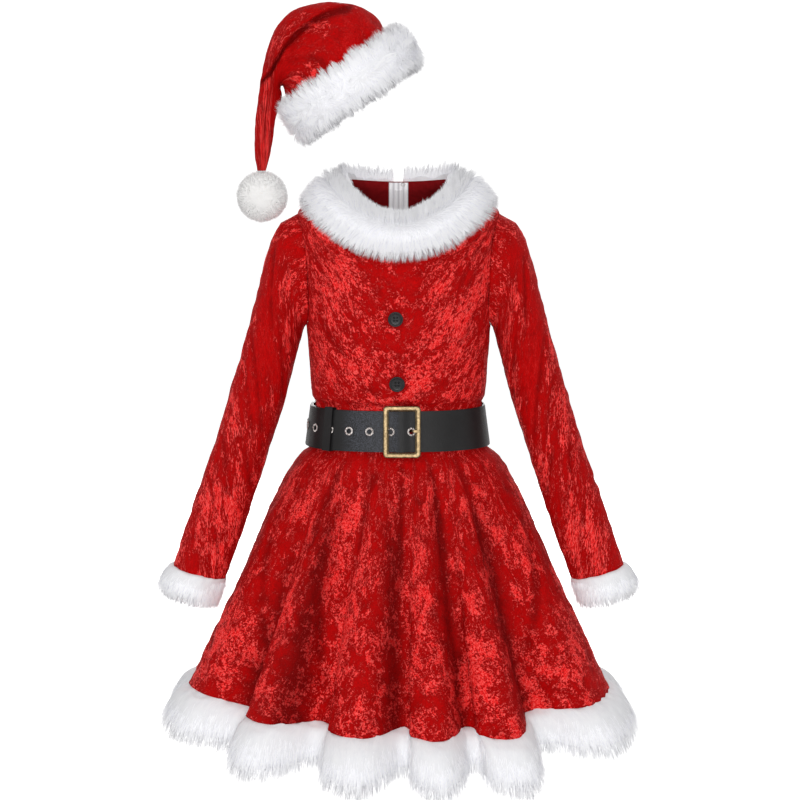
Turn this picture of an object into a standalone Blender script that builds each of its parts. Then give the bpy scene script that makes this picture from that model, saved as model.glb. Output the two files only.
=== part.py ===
"""A child's santa dress with its belt and hat, worn and hollow.

Metres, +Z up. The front faces -Y. The origin is the middle of the neck opening,
level with the shoulder seams, where the wearer's shoulders hold the dress.
"""
import math

import bmesh
import bpy
from mathutils import Matrix, Vector

# Cloth, leather and seams
VELVET = 0.0016
LEATHER = 0.0018
SEAM_GAP = 0.0003
HALF_SEAM = SEAM_GAP / 2

# Body rings from the neck edge (0) past the shoulder tip (1) and the underarm (2)
# to the waist seam (3). The front and back depths and heights are at the centre lines.
BODY_COLUMNS = ("level", "half_width", "side_z", "front", "front_z", "back", "back_z", "square")
BODY_RINGS = (
    (0.00, 0.062, 0.004, 0.062, -0.030, 0.052, -0.001, 2.0),
    (0.50, 0.093, -0.011, 0.077, -0.056, 0.066, -0.026, 2.1),
    (1.00, 0.1200, -0.0285, 0.085, -0.084, 0.075, -0.054, 2.2),
    (1.50, 0.1190, -0.085, 0.089, -0.125, 0.080, -0.106, 2.3),
    (2.00, 0.1100, -0.160, 0.086, -0.170, 0.076, -0.165, 2.35),
    (2.35, 0.1065, -0.205, 0.081, -0.208, 0.068, -0.206, 2.4),
    (2.72, 0.1035, -0.2440, 0.074, -0.2440, 0.0625, -0.2440, 2.45),
    (2.82, 0.0995, -0.2525, 0.0665, -0.2525, 0.0575, -0.2525, 2.45),
    (3.00, 0.1010, -0.2820, 0.0680, -0.2820, 0.0590, -0.2820, 2.45),
)
NECK_ROWS = (0.0, 0.3, 0.58, 0.85)
WAIST_ROWS = (2.25, 2.5, 2.72, 2.82, 3.0)
ARMHOLE_STEPS = 9
ARMHOLE_BITE_FRONT = math.radians(27)
ARMHOLE_BITE_BACK = math.radians(29)
ARMHOLE_ROUND = 0.8
FRONT_COLUMNS = 16
BACK_COLUMNS = 8

# Sleeve rings from the armhole to the cuff: the outer and inner edge seen from the front
SLEEVE_COLUMNS = ("outer_x", "outer_z", "inner_x", "inner_z", "half_depth", "forward")
SLEEVE_RINGS = (
    (-0.1395, -0.0395, -0.1125, -0.1640, 0.0460, 0.000),
    (-0.1500, -0.0560, -0.1145, -0.1700, 0.0440, 0.000),
    (-0.1570, -0.0780, -0.1165, -0.1770, 0.0420, 0.001),
    (-0.1640, -0.1030, -0.1190, -0.1860, 0.0405, 0.002),
    (-0.1713, -0.1330, -0.1222, -0.1990, 0.0390, 0.004),
    (-0.1790, -0.1635, -0.1265, -0.2165, 0.0375, 0.006),
    (-0.1890, -0.1990, -0.1325, -0.2390, 0.0362, 0.009),
    (-0.2000, -0.2365, -0.1400, -0.2645, 0.0355, 0.012),
    (-0.2115, -0.2740, -0.1500, -0.2940, 0.0345, 0.016),
    (-0.2230, -0.3105, -0.1600, -0.3265, 0.0340, 0.020),
    (-0.2365, -0.3480, -0.1720, -0.3620, 0.0335, 0.025),
    (-0.2495, -0.3865, -0.1840, -0.3995, 0.0330, 0.030),
    (-0.2600, -0.4170, -0.1960, -0.4330, 0.0325, 0.034),
    (-0.2685, -0.4445, -0.2065, -0.4605, 0.0322, 0.038),
)
SLEEVE_ROUND = 0.92

# Skirt rings from the waist seam (0) to the hem (1), before the folds are added
SKIRT_COLUMNS = ("length", "half_width", "side_z", "front", "back")
SKIRT_RINGS = (
    (0.000, 0.1010, -0.2820, 0.0680, 0.0590),
    (0.035, 0.1030, -0.2935, 0.0695, 0.0605),
    (0.078, 0.1058, -0.3068, 0.0722, 0.0630),
    (0.110, 0.1165, -0.3155, 0.0790, 0.0700),
    (0.160, 0.1270, -0.3290, 0.0855, 0.0770),
    (0.250, 0.1420, -0.3540, 0.0950, 0.0870),
    (0.370, 0.1600, -0.3910, 0.1080, 0.1000),
    (0.500, 0.1790, -0.4350, 0.1220, 0.1150),
    (0.630, 0.1980, -0.4780, 0.1360, 0.1300),
    (0.760, 0.2170, -0.5180, 0.1510, 0.1460),
    (0.880, 0.2340, -0.5550, 0.1650, 0.1600),
    (1.000, 0.2500, -0.5920, 0.1780, 0.1740),
)
SKIRT_SQUARE = 2.1
WAIST_SQUARE = 2.45
ROUNDING_LENGTH = 0.3
FRONT_DROP = 1.087
SKIRT_ROWS = (0.0, 0.078, 0.11, 0.18, 0.31, 0.47, 0.64, 0.82, 1.0)

# The skirt's folds round the hem: a ridge stands out, a valley (minus) goes in.
# Angles are degrees from the centre front towards the wearer's left (+X).
FOLD_COLUMNS = ("angle", "reach", "start")
FOLDS = (
    (-63, 0.013, 0.12),
    (-46, -0.020, 0.22),
    (-35, 0.022, 0.12),
    (-22, -0.027, 0.08),
    (-9, 0.025, 0.15),
    (1, -0.019, 0.20),
    (9, 0.024, 0.10),
    (18, -0.025, 0.12),
    (29, 0.024, 0.10),
    (40, -0.031, 0.15),
    (59, 0.019, 0.12),
    (99, -0.008, 0.25),
    (118, 0.021, 0.14),
    (136, -0.024, 0.10),
    (152, 0.023, 0.16),
    (168, -0.021, 0.20),
    (181, 0.024, 0.10),
    (197, -0.025, 0.12),
    (213, 0.022, 0.12),
    (228, -0.026, 0.10),
    (245, 0.020, 0.18),
    (262, -0.008, 0.28),
)
FOLD_GROWTH = 1.25
FOLD_SWELL = 0.0055
FOLD_SPLITS = 4

# Fur bands. Each profile point is (along the cloth past its edge, out from the cloth)
HEM_PROFILE = (
    (0.0016, -0.008),
    (0.0013, 0.006),
    (0.014, 0.019),
    (0.036, 0.023),
    (0.055, 0.018),
    (0.064, 0.004),
    (0.056, -0.010),
    (0.028, -0.014),
)
HEM_VALLEY_LENGTH = 0.76
HEM_SIDE_TUCK = 0.18
CUFF_PROFILE = (
    (0.0006, -0.007),
    (0.0006, 0.004),
    (0.008, 0.009),
    (0.020, 0.0115),
    (0.031, 0.008),
    (0.036, 0.000),
    (0.032, -0.009),
    (0.014, -0.0105),
)
# The cuff fur lies flat where it meets the skirt
CUFF_PRESS = 0.85
CUFF_PRESS_SIDE = 0.9
COLLAR_LEVELS = (0.0, 0.3, 0.58, 0.85)
COLLAR_CLEARANCE = 0.0009
# Over the collar's width (0 at the neck edge, 1 at the outer edge): the fur's height
COLLAR_TOP = ((1.04, 0.007), (1.05, 0.016), (0.86, 0.024), (0.55, 0.029), (0.24, 0.027),
              (0.00, 0.021))
COLLAR_SIDE_TUCK = 0.12
COLLAR_RIM_FRONT = 0.004
COLLAR_RIM_BACK = 0.022
COLLAR_BACK_GAP = 0.0052
COLLAR_COLUMNS = 32

# Belt
BELT_TOP_LEVEL_Z = -0.2560
BELT_BOTTOM_Z = -0.3035
BELT_KEEPER_GAP = 0.0024
BELT_OVERLAP_GAP = 0.0045
BELT_OVER_BAR = 0.0068
LAP_RISE_START = math.radians(300)
LAP_RISE_SPAN = math.radians(44)
NEAR_BAR_ANGLE = math.radians(30)
NEAR_KEEPER_ANGLE = math.radians(15)
ARCH_HALF_WIDTH = 0.0120
ARCH_STEPS = 5
STRAP_START = 0.0035
BELT_END_ANGLE = math.radians(-486)
BELT_STEP = math.radians(8.5)
KEEPER_STEP_SHARE = 0.4
EYELET_SPACING = 0.0246
EYELET_FIRST_X = 0.0150
EYELET_COUNT = 8
EYELET_OUTER = 0.0050
EYELET_INNER = 0.0028
EYELET_HEIGHT = 0.0008
EYELET_LIFT = 0.0006
STRAP_HOLE = 0.0031
KEEPER_X = -0.0790
KEEPER_WIDTH = 0.0110
KEEPER_INSIDE = 0.0006
KEEPER_WALL = 0.0010
KEEPER_REACH = 0.0021
BUCKLE_X = 0.0040
BUCKLE_WIDTH = 0.0440
BUCKLE_HEIGHT = 0.0610
BUCKLE_BAR = 0.0064
BUCKLE_THICK = 0.0036
BUCKLE_CORNER = 0.0045
BUCKLE_GAP = BELT_OVERLAP_GAP + LEATHER + EYELET_HEIGHT + 3 * SEAM_GAP
CENTRE_BAR_X = 0.0030
CENTRE_BAR_WIDTH = 0.0028
CENTRE_BAR_DEPTH = 0.0024
PRONG_WIDTH = 0.0030
PRONG_THICK = 0.0016

# Buttons on the front
BUTTONS = (
    ("button_upper", -0.0034, -0.1455, 0.0088),
    ("button_lower", -0.0017, -0.2225, 0.0092),
)
BUTTON_THICK = 0.0032

# Zip down the centre back
ZIP_TAPE_WIDTH = 0.0115
ZIP_TAPE = 0.0010
ZIP_CHAIN_WIDTH = 0.0086
ZIP_CHAIN = 0.0018
SLIDER_LEVEL = 0.17
SLIDER_WIDTH = 0.0056
SLIDER_LENGTH = 0.0095
SLIDER_THICK = 0.0018
HINGE_HEIGHT = 0.0040
HINGE_PIN = 0.0008
PULL_BORE = 0.0012
PULL_BARREL = 0.0020
PULL_WIDTH = 0.0034
PULL_LENGTH = 0.0230
PULL_TAB = 0.0050
PULL_THICK = 0.0011

# Hat rings from the opening to the tip, seen from the front: the edge next to the
# notch, the edge outside the bend, and half the depth
HAT_COLUMNS = ("near_x", "near_z", "far_x", "far_z", "depth")
HAT_RINGS = (
    (-0.1131, 0.0693, 0.0112, 0.1527, 0.064),
    (-0.1213, 0.0823, 0.0030, 0.1656, 0.064),
    (-0.1275, 0.0952, -0.0070, 0.1773, 0.063),
    (-0.1315, 0.1058, -0.0159, 0.1880, 0.061),
    (-0.1331, 0.1117, -0.0240, 0.2006, 0.058),
    (-0.1341, 0.1158, -0.0359, 0.2105, 0.053),
    (-0.1350, 0.1190, -0.0547, 0.2175, 0.047),
    (-0.1362, 0.1212, -0.0771, 0.2204, 0.041),
    (-0.1376, 0.1225, -0.1030, 0.2175, 0.035),
    (-0.1388, 0.1222, -0.1265, 0.2090, 0.030),
    (-0.1394, 0.1205, -0.1431, 0.1920, 0.026),
    (-0.1390, 0.1175, -0.1527, 0.1714, 0.022),
    (-0.1380, 0.1130, -0.1585, 0.1492, 0.019),
    (-0.1384, 0.1060, -0.1628, 0.1269, 0.0160),
    (-0.1418, 0.0976, -0.1660, 0.1062, 0.0145),
    (-0.1450, 0.0858, -0.1685, 0.0870, 0.0135),
    (-0.1474, 0.0700, -0.1700, 0.0690, 0.0125),
    (-0.1504, 0.0525, -0.1703, 0.0515, 0.0110),
    (-0.1530, 0.0380, -0.1695, 0.0370, 0.0095),
    (-0.1572, 0.0226, -0.1675, 0.0225, 0.0060),
)
HAT_SIDES = 20
# The flap that folds over the crown: where its edge crosses each ring, as a share of
# the ring's width from the notch, for the rings that it crosses
FLAP_EDGE = {6: 1.00, 7: 0.90, 8: 0.72, 9: 0.58, 10: 0.52, 11: 0.56, 12: 0.70, 13: 1.00}
FLAP_RISE = 0.0065
FLAP_SOFT = 0.16
HAT_BAND_PROFILE = (
    (-0.008, -0.0235),
    (0.008, -0.0265),
    (0.017, -0.0180),
    (0.0205, 0.0000),
    (0.017, 0.0170),
    (0.009, 0.0235),
    (0.0012, 0.0210),
    (0.0012, -0.0165),
    (-0.008, -0.0165),
)
HAT_BAND_SIDES = 24
HAT_BAND_SLIM = 0.42
POMPOM_CENTRE = (-0.1620, 0.0, -0.0080)
POMPOM_RADIUS = 0.0310

COLORS = {
    "velvet": ((0.55, 0.006, 0.010), 0.55, 0.0),
    "fur": ((0.86, 0.86, 0.88), 0.95, 0.0),
    "leather": ((0.012, 0.012, 0.014), 0.38, 0.0),
    "brass": ((0.52, 0.36, 0.13), 0.34, 1.0),
    "steel": ((0.62, 0.60, 0.58), 0.30, 1.0),
    "button": ((0.010, 0.010, 0.012), 0.30, 0.0),
    "tape": ((0.82, 0.82, 0.84), 0.80, 0.0),
}


def clear_scene():
    for obj in list(bpy.data.objects):
        bpy.data.objects.remove(obj, do_unlink=True)


def material_named(name):
    material = bpy.data.materials.get(name)
    if material:
        return material
    color, roughness, metallic = COLORS[name]
    material = bpy.data.materials.new(name)
    material.use_nodes = True
    shader = material.node_tree.nodes["Principled BSDF"]
    shader.inputs["Base Color"].default_value = (*color, 1.0)
    shader.inputs["Roughness"].default_value = roughness
    shader.inputs["Metallic"].default_value = metallic
    return material


def column(columns, rows, name):
    index = columns.index(name)
    return [row[index] for row in rows]


def spline(knots, values, t):
    """A smooth curve through the values, one for each knot."""
    last = len(knots) - 1
    t = min(max(t, knots[0]), knots[last])
    i = 0
    while i < last - 1 and t > knots[i + 1]:
        i += 1
    step = knots[i + 1] - knots[i]

    def slope(k):
        if k == 0:
            return (values[1] - values[0]) / (knots[1] - knots[0])
        if k == last:
            return (values[last] - values[last - 1]) / (knots[last] - knots[last - 1])
        before = (values[k] - values[k - 1]) / (knots[k] - knots[k - 1])
        after = (values[k + 1] - values[k]) / (knots[k + 1] - knots[k])
        if before * after <= 0:
            return 0.0
        return 2 * before * after / (before + after)

    u = (t - knots[i]) / step
    m0 = slope(i) * step
    m1 = slope(i + 1) * step
    d = values[i + 1] - values[i]
    return values[i] + m0 * u + (3 * d - 2 * m0 - m1) * u * u + (m0 + m1 - 2 * d) * u ** 3


def ease(u):
    u = min(max(u, 0.0), 1.0)
    return u * u * (3 - 2 * u)


def signed_power(value, power):
    return math.copysign(abs(value) ** power, value)


def oval(phi, half_width, front, back, square):
    """A point of a rounded oval; phi runs from the front centre towards +X."""
    power = 2 / square
    depth = front if math.cos(phi) > 0 else back
    x = half_width * signed_power(math.sin(phi), power)
    y = -depth * signed_power(math.cos(phi), power)
    return x, y


def body_value(name, level):
    levels = column(BODY_COLUMNS, BODY_RINGS, "level")
    return spline(levels, column(BODY_COLUMNS, BODY_RINGS, name), level)


def body_point(phi, level):
    x, y = oval(phi, body_value("half_width", level), body_value("front", level),
                body_value("back", level), body_value("square", level))
    side_z = body_value("side_z", level)
    centre_z = body_value("front_z" if math.cos(phi) > 0 else "back_z", level)
    return Vector((x, y, side_z + (centre_z - side_z) * math.cos(phi) ** 2))


def fold_offset(phi, length):
    """How far the skirt's folds move a point out and round, at this angle and length."""
    angles = column(FOLD_COLUMNS, FOLDS, "angle")
    degrees = (math.degrees(phi) - angles[0]) % 360 + angles[0]
    count = len(FOLDS)
    i = 0
    while i < count - 1 and degrees >= angles[i + 1]:
        i += 1
    here = FOLDS[i]
    there = FOLDS[(i + 1) % count]
    end = there[0] if i < count - 1 else there[0] + 360
    u = (degrees - here[0]) / (end - here[0])
    blend = (1 - math.cos(math.pi * u)) / 2

    def grown(fold):
        return max(0.0, (length - fold[2]) / (1 - fold[2])) ** FOLD_GROWTH

    out = here[1] * grown(here) * (1 - blend) + there[1] * grown(there) * blend
    swell = FOLD_SWELL * math.sin(math.pi * u) * (grown(here) + grown(there)) / 2
    round_way = swell if here[1] > 0 else -swell
    return out, round_way


def skirt_value(name, length):
    lengths = column(SKIRT_COLUMNS, SKIRT_RINGS, "length")
    return spline(lengths, column(SKIRT_COLUMNS, SKIRT_RINGS, name), length)


def skirt_base(phi, length):
    square = SKIRT_SQUARE + (WAIST_SQUARE - SKIRT_SQUARE) * ease(1 - length / ROUNDING_LENGTH)
    x, y = oval(phi, skirt_value("half_width", length), skirt_value("front", length),
                skirt_value("back", length), square)
    top = skirt_value("side_z", 0.0)
    drop = top - skirt_value("side_z", length)
    return Vector((x, y, top - drop * (1 + (FRONT_DROP - 1) * math.cos(phi) ** 2)))


def skirt_out(phi, length):
    """The level direction that points out of the skirt at this angle."""
    step = math.radians(1.0)
    along = skirt_base(phi + step, length) - skirt_base(phi - step, length)
    return Vector((along.y, -along.x, 0)).normalized()


def skirt_point(phi, length):
    out, round_way = fold_offset(phi, length)
    outward = skirt_out(phi, length)
    sideways = Vector((-outward.y, outward.x, 0))
    return skirt_base(phi, length) + outward * out + sideways * round_way


def surface_normal(point, a, b):
    """The outward normal of point(a, b), where a runs round and b runs down."""
    da = 0.01
    db = 0.002
    round_way = point(a + da, b) - point(a - da, b)
    down = point(a, b + db) - point(a, b - db)
    return down.cross(round_way).normalized()


def new_object(name, bm, material, smooth=True):
    bmesh.ops.recalc_face_normals(bm, faces=bm.faces)
    mesh = bpy.data.meshes.new(name)
    bm.to_mesh(mesh)
    bm.free()
    mesh.materials.append(material_named(material))
    obj = bpy.data.objects.new(name, mesh)
    bpy.context.scene.collection.objects.link(obj)
    if smooth:
        mesh.shade_smooth()
        mesh.set_sharp_from_angle(angle=math.radians(40))
    return obj


def wall(name, outer, inner, material, closed=False):
    """A cloth wall between two grids of points, open or closed round its columns."""
    bm = bmesh.new()
    rows = len(outer)
    cols = len(outer[0])
    skins = [[[bm.verts.new(p) for p in row] for row in grid] for grid in (outer, inner)]
    spans = cols if closed else cols - 1
    for skin in skins:
        for r in range(rows - 1):
            for c in range(spans):
                d = (c + 1) % cols
                bm.faces.new((skin[r][c], skin[r][d], skin[r + 1][d], skin[r + 1][c]))
    for r in (0, rows - 1):
        for c in range(spans):
            d = (c + 1) % cols
            bm.faces.new((skins[0][r][c], skins[1][r][c], skins[1][r][d], skins[0][r][d]))
    if not closed:
        for c in (0, cols - 1):
            for r in range(rows - 1):
                bm.faces.new((skins[0][r][c], skins[0][r + 1][c], skins[1][r + 1][c],
                              skins[1][r][c]))
    return new_object(name, bm, material)


def ring_solid(name, sections, material, closed):
    """A solid swept through closed sections, in a ring or with filled ends."""
    bm = bmesh.new()
    loops = [[bm.verts.new(p) for p in section] for section in sections]
    count = len(loops)
    sides = len(loops[0])
    for i in range(count if closed else count - 1):
        a = loops[i]
        b = loops[(i + 1) % count]
        for k in range(sides):
            m = (k + 1) % sides
            bm.faces.new((a[k], a[m], b[m], b[k]))
    if not closed:
        bm.faces.new(loops[0])
        bm.faces.new(reversed(loops[-1]))
    return new_object(name, bm, material)


# Bodice and sleeves

def armhole_angle(step):
    return math.pi * step / ARMHOLE_STEPS


def body_rows():
    armhole = [1 + (1 - math.cos(armhole_angle(k))) / 2 for k in range(ARMHOLE_STEPS + 1)]
    return list(NECK_ROWS) + armhole + list(WAIST_ROWS)


def armhole_bite(level, widest):
    if level <= 1 or level >= 2:
        return 0.0
    turn = math.acos(1 - 2 * (level - 1))
    return widest * math.sin(turn) ** ARMHOLE_ROUND


def armhole_loop():
    """The left armhole from the shoulder tip, down the front and up the back."""
    loop = []
    for step in range(2 * ARMHOLE_STEPS):
        down = step if step <= ARMHOLE_STEPS else 2 * ARMHOLE_STEPS - step
        level = 1 + (1 - math.cos(armhole_angle(down))) / 2
        front = step <= ARMHOLE_STEPS
        bite = armhole_bite(level, ARMHOLE_BITE_FRONT if front else ARMHOLE_BITE_BACK)
        phi = -math.pi / 2 + bite if front else -math.pi / 2 - bite
        loop.append((phi, level))
    return loop


def sleeve_rings():
    """The left sleeve's outer points, a ring for each row, starting on the armhole."""
    count = 2 * ARMHOLE_STEPS
    rings = [[body_point(phi, level) for phi, level in armhole_loop()]]
    for row in SLEEVE_RINGS:
        outer_x, outer_z, inner_x, inner_z, half_depth, forward = row
        centre = Vector(((outer_x + inner_x) / 2, -forward, (outer_z + inner_z) / 2))
        reach = Vector((outer_x, -forward, outer_z)) - centre
        ring = []
        for k in range(count):
            s = 2 * math.pi * k / count
            y = -half_depth * signed_power(math.sin(s), SLEEVE_ROUND)
            across = reach * signed_power(math.cos(s), SLEEVE_ROUND)
            ring.append(centre + across + Vector((0, y, 0)))
        rings.append(ring)
    return rings


def grid_normals(grid, closed=True):
    """Outward normals of a grid whose columns run round and rows run down."""
    rows = len(grid)
    cols = len(grid[0])
    result = []
    for r in range(rows):
        line = []
        for c in range(cols):
            before = grid[r][(c - 1) % cols] if closed or c else grid[r][c]
            after = grid[r][(c + 1) % cols] if closed or c < cols - 1 else grid[r][c]
            above = grid[max(r - 1, 0)][c]
            below = grid[min(r + 1, rows - 1)][c]
            line.append((below - above).cross(after - before).normalized())
        result.append(line)
    return result


def seam_normals(sleeve_normals):
    """Shared edge normals at the armhole's top, each piece's own towards the underarm."""
    body_edge = []
    sleeve_edge = []
    for k, (phi, level) in enumerate(armhole_loop()):
        body = surface_normal(body_point, phi, level)
        sleeve = sleeve_normals[0][k]
        turn = 2 * math.pi * k / (2 * ARMHOLE_STEPS)
        share = ease((0.35 + math.cos(turn)) / 0.5)
        middle = (body + sleeve).normalized()
        body_edge.append(body.lerp(middle, share).normalized())
        sleeve_edge.append(sleeve.lerp(middle, share).normalized())
    return body_edge, sleeve_edge


def make_sleeves():
    outer = sleeve_rings()
    normals = grid_normals(outer)
    _, edge = seam_normals(normals)
    normals[0] = edge
    away = [(outer[1][k] - outer[0][k]).normalized() for k in range(len(outer[0]))]
    outer[0] = [p + away[k] * SEAM_GAP * 1.2 for k, p in enumerate(outer[0])]
    inner = [[p - n * VELVET for p, n in zip(row, line)] for row, line in zip(outer, normals)]
    flip = Matrix.Scale(-1, 3, Vector((1, 0, 0)))
    wall("sleeve_left_side", outer, inner, "velvet", closed=True)
    mirrored = [[[flip @ p for p in row] for row in grid] for grid in (outer, inner)]
    wall("sleeve_right_side", mirrored[0], mirrored[1], "velvet", closed=True)


def body_panel(first, last, columns, bite_first, bite_last):
    """A bodice panel's two skins between the angles first and last."""
    body_edge, _ = seam_normals(grid_normals(sleeve_rings()))
    loop = armhole_loop()

    def edge_normal(phi, level):
        for (edge_phi, edge_level), normal in zip(loop, body_edge):
            if abs(edge_level - level) > 1e-6:
                continue
            if abs(abs(edge_phi) - phi_from_front(phi)) < 1e-6:
                if math.sin(phi) < 0:
                    return normal
                return Vector((-normal.x, normal.y, normal.z))
        return None

    outer = []
    inner = []
    for level in body_rows():
        start = first + armhole_bite(level, bite_first)
        end = last - armhole_bite(level, bite_last)
        angles = [start + (end - start) * c / columns for c in range(columns + 1)]
        line = [body_point(phi, level) for phi in angles]
        normals = [surface_normal(body_point, phi, level) for phi in angles]
        for c in (0, columns):
            on_seam = edge_normal(angles[c], level)
            if on_seam:
                normals[c] = on_seam
        skin = [p - n * VELVET for p, n in zip(line, normals)]
        for c, inside in ((0, 1), (columns, columns - 1)):
            shift = (line[inside] - line[c]).normalized() * HALF_SEAM
            line[c] = line[c] + shift
            skin[c] = skin[c] + shift
        outer.append(line)
        inner.append(skin)
    lift = Vector((0, 0, HALF_SEAM))
    outer[-1] = [p + lift for p in outer[-1]]
    inner[-1] = [p + lift for p in inner[-1]]
    return outer, inner


def phi_from_front(phi):
    """The angle's size measured round from the centre front, up to 180 degrees."""
    return abs((phi + math.pi) % (2 * math.pi) - math.pi)


def make_bodice():
    half = math.pi / 2
    front = body_panel(-half, half, FRONT_COLUMNS, ARMHOLE_BITE_FRONT, ARMHOLE_BITE_FRONT)
    wall("bodice_front", *front, "velvet")
    right = body_panel(half, math.pi, BACK_COLUMNS, ARMHOLE_BITE_BACK, 0.0)
    wall("bodice_back_right_side", *right, "velvet")
    left = body_panel(-math.pi, -half, BACK_COLUMNS, 0.0, ARMHOLE_BITE_BACK)
    wall("bodice_back_left_side", *left, "velvet")
    return right, left


# Skirt and hem fur

def skirt_angles(first, last):
    """Angles between two side seams, with even splits between ridges and valleys."""
    marks = [fold[0] for fold in FOLDS] + [fold[0] + 360 for fold in FOLDS]
    inside = [m for m in marks if first + 3 < m < last - 3]
    stops = [first] + inside + [last]
    angles = []
    for a, b in zip(stops, stops[1:]):
        angles += [a + (b - a) * k / FOLD_SPLITS for k in range(FOLD_SPLITS)]
    return [math.radians(a) for a in angles + [last]]


def make_skirt_panel(name, first, last):
    angles = skirt_angles(first, last)
    outer = [[skirt_point(phi, length) for phi in angles] for length in SKIRT_ROWS]
    normals = [[surface_normal(skirt_point, phi, length) for phi in angles]
               for length in SKIRT_ROWS]
    inner = [[p - n * VELVET for p, n in zip(row, line)] for row, line in zip(outer, normals)]
    for grid in (outer, inner):
        for row in grid:
            row[0] = row[0] + (row[1] - row[0]).normalized() * HALF_SEAM
            row[-1] = row[-1] + (row[-2] - row[-1]).normalized() * HALF_SEAM
        grid[0] = [p - Vector((0, 0, HALF_SEAM)) for p in grid[0]]
    return wall(name, outer, inner, "velvet")


def make_hem_fur(name, first, last):
    angles = skirt_angles(first, last)
    sections = []
    reaches = [fold[1] for fold in FOLDS]
    for phi in angles:
        edge = skirt_point(phi, 1.0)
        down = (edge - skirt_point(phi, 0.94)).normalized()
        outward = skirt_out(phi, 1.0)
        out, _ = fold_offset(phi, 1.0)
        ridge = (out - min(reaches)) / (max(reaches) - min(reaches))
        side = HEM_SIDE_TUCK * math.sin(phi) ** 6
        longer = HEM_VALLEY_LENGTH + (1 - HEM_VALLEY_LENGTH) * ridge - side
        section = []
        for along, off in HEM_PROFILE:
            off = off * (1 - side) if off > 0.01 else off
            section.append(edge + down * along * longer + outward * off)
        sections.append(section)
    sections[0] = shifted(sections[0], sections[1])
    sections[-1] = shifted(sections[-1], sections[-2])
    return ring_solid(name, sections, "fur", closed=False)


def shifted(section, towards):
    step = (towards[0] - section[0]).normalized() * HALF_SEAM
    return [p + step for p in section]


def make_cuffs():
    rings = sleeve_rings()
    edge = rings[-1]
    centre = sum(edge, Vector()) / len(edge)
    before = rings[-2]
    down = (centre - sum(before, Vector()) / len(before)).normalized()
    sections = []
    for point in edge:
        out = (point - centre)
        out = (out - down * out.dot(down)).normalized()
        flat = 1 - CUFF_PRESS * ease(out.x / CUFF_PRESS_SIDE)
        section = []
        for along, off in CUFF_PROFILE:
            section.append(point + down * along + out * (off * flat if off > 0 else off))
        sections.append(section)
    flip = Matrix.Scale(-1, 3, Vector((1, 0, 0)))
    ring_solid("cuff_fur_left_side", sections, "fur", closed=True)
    mirrored = [[flip @ p for p in section] for section in sections]
    ring_solid("cuff_fur_right_side", mirrored, "fur", closed=True)


def collar_section(phi):
    """The collar fur's section at one angle, resting on the bodice."""
    width = COLLAR_LEVELS[-1]
    section = []
    for level in reversed(COLLAR_LEVELS):
        normal = surface_normal(body_point, phi, level)
        section.append(body_point(phi, level) + normal * COLLAR_CLEARANCE)
    neck = body_point(phi, 0.0)
    normal = surface_normal(body_point, phi, 0.0)
    up = (neck - body_point(phi, 0.08)).normalized()
    back = (1 - math.cos(phi)) / 2
    rim = COLLAR_RIM_FRONT + (COLLAR_RIM_BACK - COLLAR_RIM_FRONT) * ease(back * 1.15)
    section.append(neck + up * rim * 0.75 + normal * 0.006)
    section.append(neck + up * rim + normal * 0.013)
    tuck = 1 - COLLAR_SIDE_TUCK * math.sin(phi) ** 2
    for share, height in reversed(COLLAR_TOP):
        level = width * share * tuck
        normal = surface_normal(body_point, phi, level)
        section.append(body_point(phi, level) + normal * height * tuck)
    return section


def make_collar_fur():
    step = 2 * math.pi / COLLAR_COLUMNS
    angles = [-math.pi + step * k for k in range(1, COLLAR_COLUMNS)]
    sections = [collar_section(phi) for phi in angles]
    middle = collar_section(math.pi)
    sections.insert(0, [Vector((-COLLAR_BACK_GAP, m.y, m.z)) for m in middle])
    sections.append([Vector((COLLAR_BACK_GAP, m.y, m.z)) for m in middle])
    ring_solid("collar_fur", sections, "fur", closed=False)


# Belt

def belt_surface(phi, height, offset):
    """A point over the waist cloth; height runs from 0 at the belt's top to 1."""
    top = [body_value(name, 2.82) for name in ("half_width", "front", "back")]
    bottom = [skirt_value(name, 0.078) for name in ("half_width", "front", "back")]
    sizes = [a + (b - a) * height for a, b in zip(top, bottom)]
    step = math.radians(0.5)
    x, y = oval(phi, *sizes, WAIST_SQUARE)
    x0, y0 = oval(phi - step, *sizes, WAIST_SQUARE)
    x1, y1 = oval(phi + step, *sizes, WAIST_SQUARE)
    outward = Vector((y1 - y0, -(x1 - x0), 0)).normalized()
    z = BELT_TOP_LEVEL_Z + (BELT_BOTTOM_Z - BELT_TOP_LEVEL_Z) * height
    return Vector((x, y, z)) + outward * offset


def belt_angle_at(x):
    """The angle on the front where the belt's surface has this x."""
    low = -math.pi / 2
    high = math.pi / 2
    for _ in range(40):
        middle = (low + high) / 2
        if belt_surface(middle, 0.5, 0.0).x < x:
            low = middle
        else:
            high = middle
    return low


def strap_gap(phi):
    """The gap under the strap; phi runs down from the centre bar, once round and over."""
    start = belt_angle_at(CENTRE_BAR_X)
    rise = ease((start - phi - LAP_RISE_START) / LAP_RISE_SPAN)
    gap = BELT_KEEPER_GAP + (BELT_OVERLAP_GAP - BELT_KEEPER_GAP) * rise
    if abs(start - phi - 2 * math.pi) > NEAR_BAR_ANGLE:
        return gap
    away = abs(belt_surface(phi, 0.5, 0.0).x - CENTRE_BAR_X)
    return gap + (BELT_OVER_BAR - BELT_OVERLAP_GAP) * ease(1 - away / ARCH_HALF_WIDTH)


def strap_section(phi):
    gap = strap_gap(phi)
    corners = ((0.0, gap), (0.0, gap + LEATHER), (1.0, gap + LEATHER), (1.0, gap))
    return [belt_surface(phi, height, offset) for height, offset in corners]


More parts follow.
